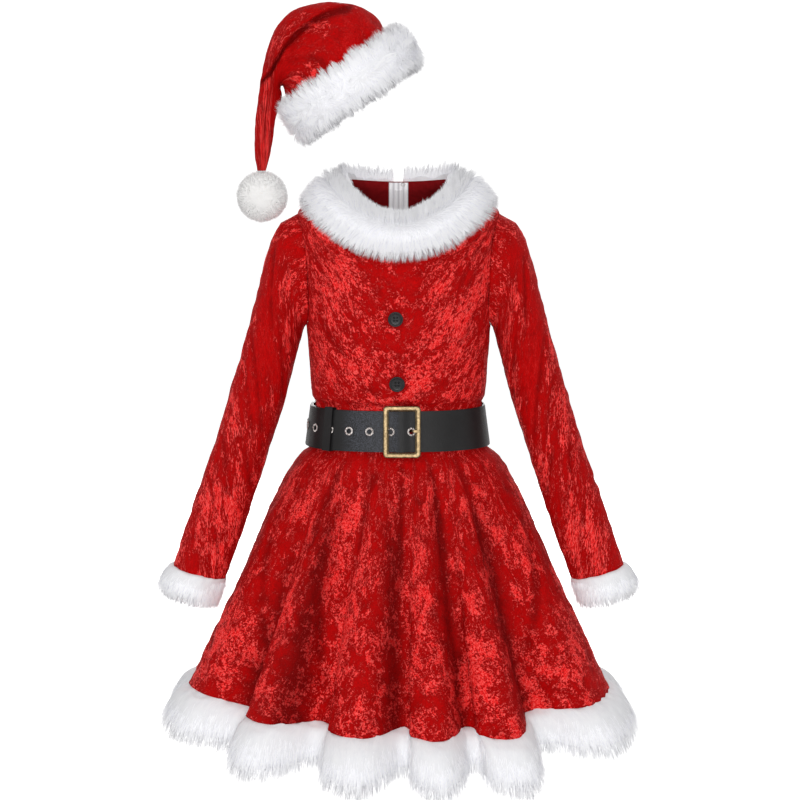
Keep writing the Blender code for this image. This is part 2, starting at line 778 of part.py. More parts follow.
def belt_frame_at(phi, offset, follow=False):
    """A matrix on the belt: X round the belt, Y out of it, Z up it."""
    step = math.radians(0.5)
    ends = [offset, offset]
    if follow:
        lap = 2 * math.pi
        ends = [offset + strap_gap(phi + side * step - lap) for side in (-1, 1)]
    middle = sum(ends) / 2
    here = belt_surface(phi, 0.5, middle)
    along = belt_surface(phi + step, 0.5, ends[1]) - belt_surface(phi - step, 0.5, ends[0])
    up = belt_surface(phi, 0.0, middle) - belt_surface(phi, 1.0, middle)
    x_axis = along.normalized()
    out = up.cross(x_axis).normalized() * -1
    z_axis = x_axis.cross(out).normalized()
    frame = Matrix((x_axis, out, z_axis)).transposed().to_4x4()
    frame.translation = here
    return frame


def prism(bm, centre, size):
    made = bmesh.ops.create_cube(bm, size=1.0)
    bmesh.ops.scale(bm, vec=size, verts=made["verts"])
    bmesh.ops.translate(bm, vec=centre, verts=made["verts"])
    return made["verts"]


def tube(bm, outer, inner, length, sides):
    """A short tube along Y, from y = 0 to y = length."""
    loops = []
    for radius, y in ((outer, 0), (outer, length), (inner, length), (inner, 0)):
        loops.append([bm.verts.new((radius * math.cos(2 * math.pi * k / sides), y,
                                    radius * math.sin(2 * math.pi * k / sides)))
                      for k in range(sides)])
    for i in range(4):
        a = loops[i]
        b = loops[(i + 1) % 4]
        for k in range(sides):
            m = (k + 1) % sides
            bm.faces.new((a[k], a[m], b[m], b[k]))


def cutter(name, bm):
    obj = new_object(name, bm, "steel", smooth=False)
    obj.hide_render = True
    obj.display_type = "WIRE"
    return obj


def boolean(obj, other, operation):
    modifier = obj.modifiers.new(operation.lower(), "BOOLEAN")
    modifier.operation = operation
    modifier.solver = "EXACT"
    modifier.object = other


def eyelet_angles():
    """Even spacing along the strap from the hole that the prong goes through."""
    angles = [belt_angle_at(EYELET_FIRST_X)]
    step = math.radians(-0.25)
    while len(angles) < EYELET_COUNT:
        walked = 0.0
        phi = angles[-1]
        while walked < EYELET_SPACING:
            walked += (belt_surface(phi + step, 0.5, 0.006) - belt_surface(phi, 0.5, 0.006)).length
            phi += step
        angles.append(phi)
    return angles


def strap_angles():
    """Angles from the centre bar round behind the wearer, back over the bar and on."""
    lap = 2 * math.pi
    keeper = belt_angle_at(KEEPER_X)
    arch = [belt_angle_at(CENTRE_BAR_X + ARCH_HALF_WIDTH * k / ARCH_STEPS) - lap
            for k in range(ARCH_STEPS, -ARCH_STEPS - 1, -1)]
    angles = []
    phi = belt_angle_at(CENTRE_BAR_X - STRAP_START)
    while phi > BELT_END_ANGLE:
        angles.append(phi)
        in_keeper = min(abs(phi - keeper), abs(phi + lap - keeper)) < NEAR_KEEPER_ANGLE
        further = phi - BELT_STEP * (KEEPER_STEP_SHARE if in_keeper else 1.0)
        if phi > arch[0] >= further:
            angles += arch
            further = arch[-1] - BELT_STEP / 2
        phi = further
    return angles


def make_belt():
    sections = [strap_section(phi) for phi in strap_angles()]
    strap = ring_solid("belt_strap", sections, "leather", closed=False)
    holes = bmesh.new()
    for phi in eyelet_angles():
        part = bmesh.new()
        made = bmesh.ops.create_cone(part, cap_ends=True, segments=8, radius1=STRAP_HOLE,
                                     radius2=STRAP_HOLE, depth=LEATHER * 2)
        bmesh.ops.rotate(part, matrix=Matrix.Rotation(math.pi / 2, 3, "X"), verts=made["verts"])
        part.transform(belt_frame_at(phi, LEATHER * 0.75, follow=True))
        mesh = bpy.data.meshes.new("hole")
        part.to_mesh(mesh)
        part.free()
        holes.from_mesh(mesh)
        bpy.data.meshes.remove(mesh)
    boolean(strap, cutter("strap_holes", holes), "DIFFERENCE")
    for index, phi in enumerate(eyelet_angles()):
        bm = bmesh.new()
        tube(bm, EYELET_OUTER, EYELET_INNER, EYELET_HEIGHT, 10)
        bm.transform(belt_frame_at(phi, LEATHER + EYELET_LIFT, follow=True))
        new_object(f"belt_eyelet_{index + 1}", bm, "steel")


def make_keeper():
    """A leather loop round both layers of the strap."""
    phi = belt_angle_at(KEEPER_X)
    half_height = (BELT_TOP_LEVEL_Z - BELT_BOTTOM_Z) / 2 + KEEPER_REACH
    bm = bmesh.new()
    outer = (KEEPER_INSIDE, BUCKLE_GAP + KEEPER_WALL, half_height)
    inner = (KEEPER_INSIDE + KEEPER_WALL, BUCKLE_GAP, half_height - KEEPER_WALL)
    rings = []
    for low, high, tall in (outer, inner):
        corners = ((low, -tall), (high, -tall), (high, tall), (low, tall))
        for side in (-1, 1):
            rings.append([bm.verts.new((side * KEEPER_WIDTH / 2, y, z)) for y, z in corners])
    for a, b in ((0, 1), (1, 3), (3, 2), (2, 0)):
        for k in range(4):
            m = (k + 1) % 4
            bm.faces.new((rings[a][k], rings[a][m], rings[b][m], rings[b][k]))
    bm.transform(belt_frame_at(phi, 0.0))
    new_object("belt_keeper", bm, "leather")


def rounded_rectangle(half_x, half_z, radius, steps):
    points = []
    corners = ((1, 1, 0), (-1, 1, 90), (-1, -1, 180), (1, -1, 270))
    for sx, sz, first in corners:
        for k in range(steps + 1):
            angle = math.radians(first + 90 * k / steps)
            points.append((sx * (half_x - radius) + radius * math.cos(angle),
                           sz * (half_z - radius) + radius * math.sin(angle)))
    return points


def extruded(outline, middle_x, width):
    """A prism of an outline in Y and Z, this wide along X."""
    bm = bmesh.new()
    left = [bm.verts.new((middle_x - width / 2, y, z)) for y, z in outline]
    right = [bm.verts.new((middle_x + width / 2, y, z)) for y, z in outline]
    bm.faces.new(left)
    bm.faces.new(reversed(right))
    for k in range(len(outline)):
        m = (k + 1) % len(outline)
        bm.faces.new((left[k], right[k], right[m], left[m]))
    return bm


def make_buckle():
    """A bevelled frame over the strap, with a centre bar set back under the strap."""
    place = belt_frame_at(belt_angle_at(BUCKLE_X), BUCKLE_GAP)
    half_x = BUCKLE_WIDTH / 2
    half_z = BUCKLE_HEIGHT / 2
    bevel = 0.0010
    profile = ((0.0, 0.0), (0.0, BUCKLE_THICK - bevel), (bevel, BUCKLE_THICK),
               (BUCKLE_BAR - 2 * bevel, BUCKLE_THICK), (BUCKLE_BAR, BUCKLE_THICK - 2 * bevel),
               (BUCKLE_BAR, 0.0))
    bm = bmesh.new()
    loops = []
    for inset, height in profile:
        radius = max(BUCKLE_CORNER - inset * 0.55, 0.0010)
        outline = rounded_rectangle(half_x - inset, half_z - inset, radius, 3)
        loops.append([bm.verts.new((x, height, z)) for x, z in outline])
    for i in range(len(loops)):
        a = loops[i]
        b = loops[(i + 1) % len(loops)]
        for k in range(len(a)):
            m = (k + 1) % len(a)
            bm.faces.new((a[k], a[m], b[m], b[k]))
    bm.transform(place)
    frame = new_object("buckle_frame", bm, "brass")
    high = BELT_OVER_BAR - BUCKLE_GAP - 2 * SEAM_GAP
    low = high - CENTRE_BAR_DEPTH
    foot = BUCKLE_THICK / 3
    strap_z = (BELT_TOP_LEVEL_Z - BELT_BOTTOM_Z) / 2 + 0.0009
    end_z = half_z - BUCKLE_BAR / 3
    outline = ((foot, end_z), (low, end_z), (low, -end_z), (foot, -end_z),
               (foot, -strap_z), (high, -strap_z), (high, strap_z), (foot, strap_z))
    bar = extruded(outline, CENTRE_BAR_X - BUCKLE_X, CENTRE_BAR_WIDTH)
    bar.transform(place)
    boolean(frame, cutter("buckle_bar", bar), "UNION")


def make_prong():
    """The prong from behind the strap, through an eyelet and over the right bar."""
    place = belt_frame_at(belt_angle_at(BUCKLE_X), 0.0)
    top = BUCKLE_GAP + BUCKLE_THICK + SEAM_GAP + PRONG_THICK / 2
    hole = EYELET_FIRST_X - BUCKLE_X
    route = ((CENTRE_BAR_X - BUCKLE_X + 0.0022, 0.0026), (hole - 0.0030, 0.0026),
             (hole - 0.0002, 0.0046), (hole + 0.0014, 0.0088), (hole + 0.0028, top),
             (BUCKLE_WIDTH / 2 - 0.0022, top), (BUCKLE_WIDTH / 2 - 0.0006, top - 0.0004))
    bm = bmesh.new()
    loops = []
    for i, (x, y) in enumerate(route):
        before = route[max(i - 1, 0)]
        after = route[min(i + 1, len(route) - 1)]
        way = Vector((after[0] - before[0], after[1] - before[1])).normalized()
        side = Vector((-way.y, way.x)) * PRONG_THICK / 2
        width = PRONG_WIDTH / 2
        corners = ((side, -width), (side, width), (-side, width), (-side, -width))
        loops.append([bm.verts.new((x + s.x, y + s.y, w)) for s, w in corners])
    for a, b in zip(loops, loops[1:]):
        for k in range(4):
            m = (k + 1) % 4
            bm.faces.new((a[k], a[m], b[m], b[k]))
    bm.faces.new(loops[0])
    bm.faces.new(reversed(loops[-1]))
    bm.transform(place)
    new_object("buckle_prong", bm, "brass")


# Buttons

def level_at(phi, z):
    low = 0.0
    high = 3.0
    for _ in range(40):
        middle = (low + high) / 2
        if body_point(phi, middle).z > z:
            low = middle
        else:
            high = middle
    return low


def make_button(name, x, z, radius):
    level = level_at(0.0, z)
    low = -0.3
    high = 0.3
    for _ in range(40):
        phi = (low + high) / 2
        if body_point(phi, level).x < x:
            low = phi
        else:
            high = phi
    normal = surface_normal(body_point, 0.02, level)
    profile = ((0.0, 0.0), (0.86, 0.0), (1.0, 0.35), (1.0, 0.75), (0.93, 1.0), (0.80, 0.95),
               (0.70, 0.62), (0.0, 0.58))
    sides = 20
    bm = bmesh.new()
    bottom = bm.verts.new((0, 0, 0))
    top = bm.verts.new((0, 0, profile[-1][1] * BUTTON_THICK))
    loops = [[bm.verts.new((radius * r * math.cos(2 * math.pi * k / sides),
                            radius * r * math.sin(2 * math.pi * k / sides),
                            h * BUTTON_THICK)) for k in range(sides)] for r, h in profile[1:-1]]
    for k in range(sides):
        m = (k + 1) % sides
        bm.faces.new((bottom, loops[0][m], loops[0][k]))
        bm.faces.new((top, loops[-1][k], loops[-1][m]))
        for a, b in zip(loops, loops[1:]):
            bm.faces.new((a[k], a[m], b[m], b[k]))
    turn = Vector((0, 0, 1)).rotation_difference(normal)
    place = Matrix.Translation(body_point(phi, level) + normal * 0.0006) @ turn.to_matrix().to_4x4()
    bm.transform(place)
    new_object(name, bm, "button")


# Zip

def make_zip_tapes(panels):
    """Woven tapes on the inside of the back panels, and the chain between them."""
    (_, right_inner), (_, left_inner) = panels
    gap = SEAM_GAP * 1.5
    grids = {}
    for name, inner, edge, inside in (("zip_tape_right_side", right_inner, -1, -2),
                                      ("zip_tape_left_side", left_inner, 0, 1)):
        near_skin = []
        far_skin = []
        for level, row in list(zip(body_rows(), inner))[:-2]:
            start = row[edge]
            away = (row[inside] - start).normalized()
            normal = surface_normal(body_point, math.pi, level)
            points = [start, start + away * ZIP_TAPE_WIDTH]
            near_skin.append([p - normal * gap for p in points])
            far_skin.append([p - normal * (gap + ZIP_TAPE) for p in points])
        wall(name, near_skin, far_skin, "tape")
        grids[name] = far_skin
    chain_near = []
    chain_far = []
    for level, right, left in zip(body_rows(), grids["zip_tape_right_side"],
                                  grids["zip_tape_left_side"]):
        normal = surface_normal(body_point, math.pi, level)
        middle = (right[0] + left[0]) / 2
        side = (right[1] - left[1]).normalized() * ZIP_CHAIN_WIDTH / 2
        points = [middle - side, middle + side]
        chain_near.append([p - normal * SEAM_GAP * 1.5 for p in points])
        chain_far.append([p * 0.8 + middle * 0.2 - normal * (SEAM_GAP * 1.5 + ZIP_CHAIN)
                          for p in points])
    wall("zip_chain", chain_near, chain_far, "tape")


def slider_frame():
    """A matrix at the zip's slider: X across, Y out of the cloth, Z up along it."""
    normal = surface_normal(body_point, math.pi, SLIDER_LEVEL)
    across = Vector((1, 0, 0))
    up = across.cross(normal)
    frame = Matrix((across, normal, up)).transposed().to_4x4()
    frame.translation = body_point(math.pi, SLIDER_LEVEL) + normal * SEAM_GAP * 1.5
    return frame


def make_slider():
    place = slider_frame()
    bm = bmesh.new()
    verts = prism(bm, (0, SLIDER_THICK / 2, 0), (SLIDER_WIDTH, SLIDER_THICK, SLIDER_LENGTH))
    for v in verts:
        if v.co.z < 0:
            v.co.x *= 0.72
    bm.transform(place)
    slider = new_object("zip_slider", bm, "steel", smooth=False)
    ear_x = PULL_WIDTH / 2 + 0.0007
    for side in (-1, 1):
        ear = bmesh.new()
        prism(ear, (side * ear_x, (SLIDER_THICK + HINGE_HEIGHT) / 2, 0),
              (0.0008, HINGE_HEIGHT - SLIDER_THICK + 0.0022, 0.0030))
        ear.transform(place)
        boolean(slider, cutter("slider_ear", ear), "UNION")
    pin = bmesh.new()
    made = bmesh.ops.create_cone(pin, cap_ends=True, segments=10, radius1=HINGE_PIN,
                                 radius2=HINGE_PIN, depth=2 * ear_x)
    bmesh.ops.rotate(pin, matrix=Matrix.Rotation(math.pi / 2, 3, "Y"), verts=made["verts"])
    bmesh.ops.translate(pin, vec=(0, HINGE_HEIGHT, 0), verts=made["verts"])
    pin.transform(place)
    boolean(slider, cutter("slider_pin", pin), "UNION")


def make_pull_tab():
    """The tab hangs from the slider's pin; its parent empty is on the hinge axis."""
    place = slider_frame()
    hinge = bpy.data.objects.new("pull_tab_hinge", None)
    bpy.context.scene.collection.objects.link(hinge)
    hinge.matrix_world = place @ Matrix.Translation((0, HINGE_HEIGHT, 0))
    bm = bmesh.new()
    tube(bm, PULL_BARREL, PULL_BORE, PULL_WIDTH, 12)
    bm.transform(Matrix.Translation((PULL_WIDTH / 2, 0, 0)) @ Matrix.Rotation(math.pi / 2, 4, "Z"))
    pull = new_object("zip_pull_tab", bm, "steel", smooth=False)
    tab = bmesh.new()
    half = PULL_TAB / 2
    start = -PULL_BORE - 0.0004
    outline = ((-0.0013, start), (-half, start - 0.0060), (-half, -PULL_LENGTH + 0.0015),
               (-half + 0.0015, -PULL_LENGTH), (half - 0.0015, -PULL_LENGTH),
               (half, -PULL_LENGTH + 0.0015), (half, start - 0.0060), (0.0013, start))
    front = [tab.verts.new((x, -PULL_THICK / 2, z)) for x, z in outline]
    rear = [tab.verts.new((x, PULL_THICK / 2, z)) for x, z in outline]
    tab.faces.new(front)
    tab.faces.new(reversed(rear))
    for k in range(len(outline)):
        m = (k + 1) % len(outline)
        tab.faces.new((front[k], rear[k], rear[m], front[m]))
    blade = cutter("pull_blade", tab)
    boolean(pull, blade, "UNION")
    for obj in (pull, blade):
        obj.parent = hinge


# Hat

def flap_rise(ring, share):
    """How far the folded flap stands out at this share of the ring's width."""
    if ring < min(FLAP_EDGE) or ring > max(FLAP_EDGE):
        return 0.0
    edge = FLAP_EDGE[ring]
    return FLAP_RISE * ease((share - edge) / FLAP_SOFT + 0.5)


def hat_ring(index, angles):
    near_x, near_z, far_x, far_z, depth = HAT_RINGS[index]
    near = Vector((near_x, 0, near_z))
    far = Vector((far_x, 0, far_z))
    centre = (near + far) / 2
    reach = far - centre
    ring = []
    for s in angles:
        share = (1 + math.cos(s)) / 2
        y = depth * math.sin(s)
        if y > 0:
            y += flap_rise(index, share) * math.sin(s) ** 0.5
        ring.append(centre + reach * math.cos(s) - Vector((0, y, 0)))
    return ring


def make_hat():
    full = [2 * math.pi * k / HAT_SIDES for k in range(HAT_SIDES)]
    rings = [hat_ring(i, full) for i in range(len(HAT_RINGS))]
    normals = grid_normals(rings)
    centres = [sum(ring, Vector()) / len(ring) for ring in rings]
    for line, ring, centre in zip(normals, rings, centres):
        for k, normal in enumerate(line):
            if normal.dot(ring[k] - centre) < 0:
                line[k] = -normal
    half = HAT_SIDES // 2
    for name, columns in (("hat_front", range(0, half + 1)),
                          ("hat_back", range(half, HAT_SIDES + 1))):
        outer = [[ring[k % HAT_SIDES] for k in columns] for ring in rings]
        skin = [[line[k % HAT_SIDES] for k in columns] for line in normals]
        inner = [[p - n * VELVET for p, n in zip(row, line)] for row, line in zip(outer, skin)]
        sign = -1 if name == "hat_front" else 1
        shift = Vector((0, sign * HALF_SEAM, 0))
        for grid in (outer, inner):
            for row in grid:
                row[0] = row[0] + shift
                row[-1] = row[-1] + shift
        wall(name, outer, inner, "velvet")


def make_hat_band():
    near_x, near_z, far_x, far_z, depth = HAT_RINGS[1]
    near = Vector((near_x, 0, near_z))
    far = Vector((far_x, 0, far_z))
    centre = (near + far) / 2
    reach = far - centre
    half = reach.length
    long_way = reach.normalized()
    axis = Vector((-long_way.z, 0, long_way.x))
    sections = []
    for k in range(HAT_BAND_SIDES):
        s = 2 * math.pi * k / HAT_BAND_SIDES
        point = centre + long_way * half * math.cos(s) - Vector((0, depth * math.sin(s), 0))
        out = (long_way * math.cos(s) / half - Vector((0, math.sin(s) / depth, 0))).normalized()
        section = []
        for off, along in HAT_BAND_PROFILE:
            slim = 1 - HAT_BAND_SLIM * max(0.0, -math.cos(s)) ** 4 if off > 0.002 else 1.0
            section.append(point + out * (off * slim + 0.0006) + axis * along)
        sections.append(section)
    ring_solid("hat_fur_band", sections, "fur", closed=True)


def make_pompom():
    bm = bmesh.new()
    bmesh.ops.create_icosphere(bm, subdivisions=2, radius=POMPOM_RADIUS)
    bmesh.ops.translate(bm, vec=POMPOM_CENTRE, verts=bm.verts)
    new_object("hat_pompom", bm, "fur")


def main():
    clear_scene()
    back_panels = make_bodice()
    make_sleeves()
    make_skirt_panel("skirt_front", -90, 90)
    make_skirt_panel("skirt_back", 90, 270)
    make_hem_fur("hem_fur_front", -90, 90)
    make_hem_fur("hem_fur_back", 90, 270)
    make_cuffs()
    make_collar_fur()
    make_belt()
    make_keeper()
    make_buckle()
    make_prong()
    for button in BUTTONS:
        make_button(*button)
    make_zip_tapes(back_panels)
    make_slider()
    make_pull_tab()
    make_hat()
    make_hat_band()
    make_pompom()


main()
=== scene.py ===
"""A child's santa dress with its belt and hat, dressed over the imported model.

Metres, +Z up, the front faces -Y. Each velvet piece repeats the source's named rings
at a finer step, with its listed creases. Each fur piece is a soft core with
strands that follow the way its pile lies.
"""
import math

import bmesh
import bpy
import numpy as np
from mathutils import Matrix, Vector


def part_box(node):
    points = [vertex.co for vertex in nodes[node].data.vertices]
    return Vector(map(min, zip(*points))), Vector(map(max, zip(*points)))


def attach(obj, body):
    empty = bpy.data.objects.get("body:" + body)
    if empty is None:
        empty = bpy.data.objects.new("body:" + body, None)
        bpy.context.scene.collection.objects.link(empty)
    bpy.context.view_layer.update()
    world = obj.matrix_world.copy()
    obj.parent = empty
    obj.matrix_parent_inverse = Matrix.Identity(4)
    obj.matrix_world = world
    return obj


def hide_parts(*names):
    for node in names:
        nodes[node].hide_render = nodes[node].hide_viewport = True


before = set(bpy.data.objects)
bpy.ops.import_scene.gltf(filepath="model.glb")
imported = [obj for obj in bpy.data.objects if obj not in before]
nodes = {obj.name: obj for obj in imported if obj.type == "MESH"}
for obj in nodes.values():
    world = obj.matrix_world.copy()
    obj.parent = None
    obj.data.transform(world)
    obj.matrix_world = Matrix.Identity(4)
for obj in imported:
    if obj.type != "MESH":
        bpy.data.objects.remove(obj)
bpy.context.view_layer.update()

SEED = 24
VELVET = 0.0016
UP = np.array((0.0, 0.0, 1.0))

# Camera: pixels of the photograph are 1.2 mm at the dress's middle plane
CAMERA_DISTANCE = 3.2
CAMERA_PITCH = math.radians(7.5)
CAMERA_AIM = (0.0018, 0.0, -0.252)
CAMERA_LENS = 120.0

# The white room and its soft lights: a light's name, place, size and power
ROOM_REACH = 12
FLOOR_Z = -0.95
WORLD_STRENGTH = 0.52
LIGHT_AIM = (0, 0, -0.25)
LIGHTS = (
    ("front", (0.1, -3.6, 0.2), (1.5, 1.5), 54),
    ("front_left", (-1.5, -2.5, 1.5), (1.2, 1.0), 14),
    ("back", (-0.1, 3.6, 0.3), (1.5, 1.5), 54),
    ("back_right", (1.5, 2.5, 1.5), (1.2, 1.0), 14),
)

# Body rings from the neck edge (0) past the shoulder tip (1) and underarm (2) to the waist (3)
BODY_COLUMNS = ("level", "half_width", "side_z", "front", "front_z", "back", "back_z", "square")
BODY_RINGS = (
    (0.00, 0.062, 0.004, 0.062, -0.030, 0.052, -0.001, 2.0),
    (0.50, 0.093, -0.011, 0.077, -0.056, 0.066, -0.026, 2.1),
    (1.00, 0.1200, -0.0285, 0.085, -0.084, 0.075, -0.054, 2.2),
    (1.50, 0.1190, -0.085, 0.089, -0.125, 0.080, -0.106, 2.3),
    (2.00, 0.1100, -0.160, 0.086, -0.170, 0.076, -0.165, 2.35),
    (2.35, 0.1065, -0.205, 0.081, -0.208, 0.068, -0.206, 2.4),
    (2.72, 0.1035, -0.2440, 0.074, -0.2440, 0.0625, -0.2440, 2.45),
    (2.82, 0.0995, -0.2525, 0.0665, -0.2525, 0.0575, -0.2525, 2.45),
    (3.00, 0.1010, -0.2820, 0.0680, -0.2820, 0.0590, -0.2820, 2.45),
)
ARMHOLE_BITE_FRONT = math.radians(27)
ARMHOLE_BITE_BACK = math.radians(29)
ARMHOLE_ROUND = 0.8

SLEEVE_COLUMNS = ("outer_x", "outer_z", "inner_x", "inner_z", "half_depth", "forward")
SLEEVE_RINGS = (
    (-0.1395, -0.0395, -0.1125, -0.1640, 0.0460, 0.000),
    (-0.1500, -0.0560, -0.1145, -0.1700, 0.0440, 0.000),
    (-0.1570, -0.0780, -0.1165, -0.1770, 0.0420, 0.001),
    (-0.1640, -0.1030, -0.1190, -0.1860, 0.0405, 0.002),
    (-0.1713, -0.1330, -0.1222, -0.1990, 0.0390, 0.004),
    (-0.1790, -0.1635, -0.1265, -0.2165, 0.0375, 0.006),
    (-0.1890, -0.1990, -0.1325, -0.2390, 0.0362, 0.009),
    (-0.2000, -0.2365, -0.1400, -0.2645, 0.0355, 0.012),
    (-0.2115, -0.2740, -0.1500, -0.2940, 0.0345, 0.016),
    (-0.2230, -0.3105, -0.1600, -0.3265, 0.0340, 0.020),
    (-0.2365, -0.3480, -0.1720, -0.3620, 0.0335, 0.025),
    (-0.2495, -0.3865, -0.1840, -0.3995, 0.0330, 0.030),
    (-0.2600, -0.4170, -0.1960, -0.4330, 0.0325, 0.034),
    (-0.2685, -0.4445, -0.2065, -0.4605, 0.0322, 0.038),
)

SKIRT_COLUMNS = ("length", "half_width", "side_z", "front", "back")
SKIRT_RINGS = (
    (0.000, 0.1010, -0.2820, 0.0680, 0.0590),
    (0.035, 0.1030, -0.2935, 0.0695, 0.0605),
    (0.078, 0.1058, -0.3068, 0.0722, 0.0630),
    (0.110, 0.1165, -0.3155, 0.0790, 0.0700),
    (0.160, 0.1270, -0.3290, 0.0855, 0.0770),
    (0.250, 0.1420, -0.3540, 0.0950, 0.0870),
    (0.370, 0.1600, -0.3910, 0.1080, 0.1000),
    (0.500, 0.1790, -0.4350, 0.1220, 0.1150),
    (0.630, 0.1980, -0.4780, 0.1360, 0.1300),
    (0.760, 0.2170, -0.5180, 0.1510, 0.1460),
    (0.880, 0.2340, -0.5550, 0.1650, 0.1600),
    (1.000, 0.2500, -0.5920, 0.1780, 0.1740),
)
SKIRT_SQUARE = 2.1
WAIST_SQUARE = 2.45
ROUNDING_LENGTH = 0.3
FRONT_DROP = 1.087

# Ridges stand out and valleys (minus) go in; lean moves a ridge's left side over its valley,
# and hang is how much lower the hem lies there
FOLD_COLUMNS = ("angle", "reach", "start", "lean", "hang")
FOLDS = (
    (-63, 0.013, 0.12, 0.003, -0.009),
    (-46, -0.020, 0.22, 0.0, -0.002),
    (-35, 0.022, 0.12, 0.010, -0.003),
    (-22, -0.027, 0.08, 0.0, -0.004),
    (-9, 0.025, 0.15, 0.010, -0.002),
    (1, -0.019, 0.20, 0.0, -0.005),
    (9, 0.024, 0.10, 0.010, 0.002),
    (18, -0.025, 0.12, 0.0, 0.0),
    (29, 0.024, 0.10, 0.011, 0.010),
    (40, -0.031, 0.15, 0.0, 0.0),
    (59, 0.019, 0.12, 0.004, 0.0),
    (99, -0.008, 0.25, 0.0, 0.0),
    (118, 0.021, 0.14, 0.006, 0.002),
    (136, -0.024, 0.10, 0.0, 0.0),
    (152, 0.023, 0.16, 0.009, 0.002),
    (168, -0.021, 0.20, 0.0, -0.001),
    (181, 0.024, 0.10, 0.007, 0.001),
    (197, -0.025, 0.12, 0.0, 0.0),
    (213, 0.022, 0.12, 0.010, 0.003),
    (228, -0.026, 0.10, 0.0, 0.0),
    (245, 0.020, 0.18, 0.006, 0.001),
    (262, -0.008, 0.28, 0.0, 0.0),
)
FOLD_GROWTH = 1.25
FOLD_SWELL = 0.0055
# Painted shade down the folds' valleys: the middle and half width in degrees, the length
# at which it starts and how dark it gets
FOLD_SHADOWS = (
    (-47, 4.5, 0.30, 0.75),
    (-30.5, 4.0, 0.12, 1.00),
    (-2.0, 3.6, 0.12, 1.00),
    (16.5, 3.4, 0.10, 0.95),
    (37.5, 5.0, 0.15, 1.00),
    (98, 5.0, 0.30, 0.50),
    (133, 5.0, 0.12, 0.90),
    (165, 4.5, 0.20, 0.90),
    (194, 4.5, 0.12, 0.90),
    (225, 5.0, 0.12, 0.90),
    (260, 4.0, 0.30, 0.50),
)

HAT_COLUMNS = ("near_x", "near_z", "far_x", "far_z", "depth")
HAT_RINGS = (
    (-0.1131, 0.0693, 0.0112, 0.1527, 0.064),
    (-0.1213, 0.0823, 0.0030, 0.1656, 0.064),
    (-0.1275, 0.0952, -0.0070, 0.1773, 0.063),
    (-0.1315, 0.1058, -0.0159, 0.1880, 0.061),
    (-0.1331, 0.1117, -0.0240, 0.2006, 0.058),
    (-0.1341, 0.1158, -0.0359, 0.2105, 0.053),
    (-0.1350, 0.1190, -0.0547, 0.2175, 0.047),
    (-0.1362, 0.1212, -0.0771, 0.2204, 0.041),
    (-0.1376, 0.1225, -0.1030, 0.2175, 0.035),
    (-0.1388, 0.1222, -0.1265, 0.2090, 0.030),
    (-0.1394, 0.1205, -0.1431, 0.1920, 0.026),
    (-0.1390, 0.1175, -0.1527, 0.1714, 0.022),
    (-0.1380, 0.1130, -0.1585, 0.1492, 0.019),
    (-0.1384, 0.1060, -0.1628, 0.1269, 0.0160),
    (-0.1418, 0.0976, -0.1660, 0.1062, 0.0145),
    (-0.1450, 0.0858, -0.1685, 0.0870, 0.0135),
    (-0.1474, 0.0700, -0.1700, 0.0690, 0.0125),
    (-0.1504, 0.0525, -0.1703, 0.0515, 0.0110),
    (-0.1530, 0.0380, -0.1695, 0.0370, 0.0095),
    (-0.1572, 0.0226, -0.1675, 0.0225, 0.0060),
)
FLAP_COLUMNS = ("ring", "edge")
FLAP_EDGE = ((6, 1.00), (7, 0.90), (8, 0.72), (9, 0.58), (10, 0.52), (11, 0.56), (12, 0.70),
             (13, 1.00))
FLAP_RISE = 0.0070
FLAP_SOFT = 0.055
FLAP_GROOVE = 0.0040

# Where the pile is crushed more (or less, below 0) than elsewhere: the spot's middle and
# its half widths round and down the cloth, in metres as the creases are
PATCH_COLUMNS = ("round", "down", "wide", "tall", "amount")
BODICE_PATCHES = (
    (-0.085, 0.095, 0.050, 0.045, 0.055),
    (-0.080, 0.158, 0.045, 0.028, 0.065),
    (-0.045, 0.205, 0.055, 0.026, 0.045),
    (0.048, 0.188, 0.042, 0.036, 0.055),
    (0.082, 0.160, 0.036, 0.032, 0.060),
    (0.090, 0.098, 0.048, 0.040, 0.050),
    (0.000, 0.248, 0.090, 0.018, 0.050),
    (-0.006, 0.078, 0.050, 0.018, -0.080),
    (-0.022, 0.148, 0.030, 0.022, -0.060),
    (-0.080, 0.133, 0.030, 0.009, -0.060),
    (0.080, 0.132, 0.030, 0.009, -0.060),
    (0.030, 0.128, 0.016, 0.024, -0.040),
)
BACK_PATCHES = (
    (-0.030, 0.100, 0.040, 0.040, 0.050),
    (0.030, 0.190, 0.035, 0.030, 0.050),
    (0.010, 0.140, 0.030, 0.014, -0.060),
    (-0.020, 0.240, 0.040, 0.018, 0.040),
)
SLEEVE_PATCHES = (
    (0.056, 0.118, 0.030, 0.060, -0.150),
    (-0.070, 0.130, 0.030, 0.050, -0.090),
    (0.000, 0.060, 0.014, 0.080, 0.060),
    (0.104, 0.080, 0.018, 0.060, 0.050),
    (0.062, 0.290, 0.030, 0.036, 0.060),
    (0.030, 0.230, 0.030, 0.022, 0.050),
    (0.080, 0.350, 0.030, 0.030, 0.060),
    (-0.050, 0.300, 0.040, 0.050, 0.050),
    (0.020, 0.392, 0.050, 0.012, 0.040),
)
SKIRT_PATCHES = (
    (-0.120, 0.300, 0.050, 0.035, 0.050),
    (0.150, 0.290, 0.060, 0.040, 0.050),
    (-0.300, 0.270, 0.070, 0.050, 0.050),
    (0.340, 0.280, 0.070, 0.040, 0.040),
    # The next two narrow spots lighten the lit fold ridges: painted highlight
    (-0.085, 0.220, 0.018, 0.100, 0.085),
    (0.020, 0.210, 0.014, 0.100, 0.070),
    (0.060, 0.170, 0.020, 0.050, -0.060),
    (-0.200, 0.170, 0.030, 0.040, -0.050),
    (0.000, 0.036, 0.300, 0.012, -0.080),
)
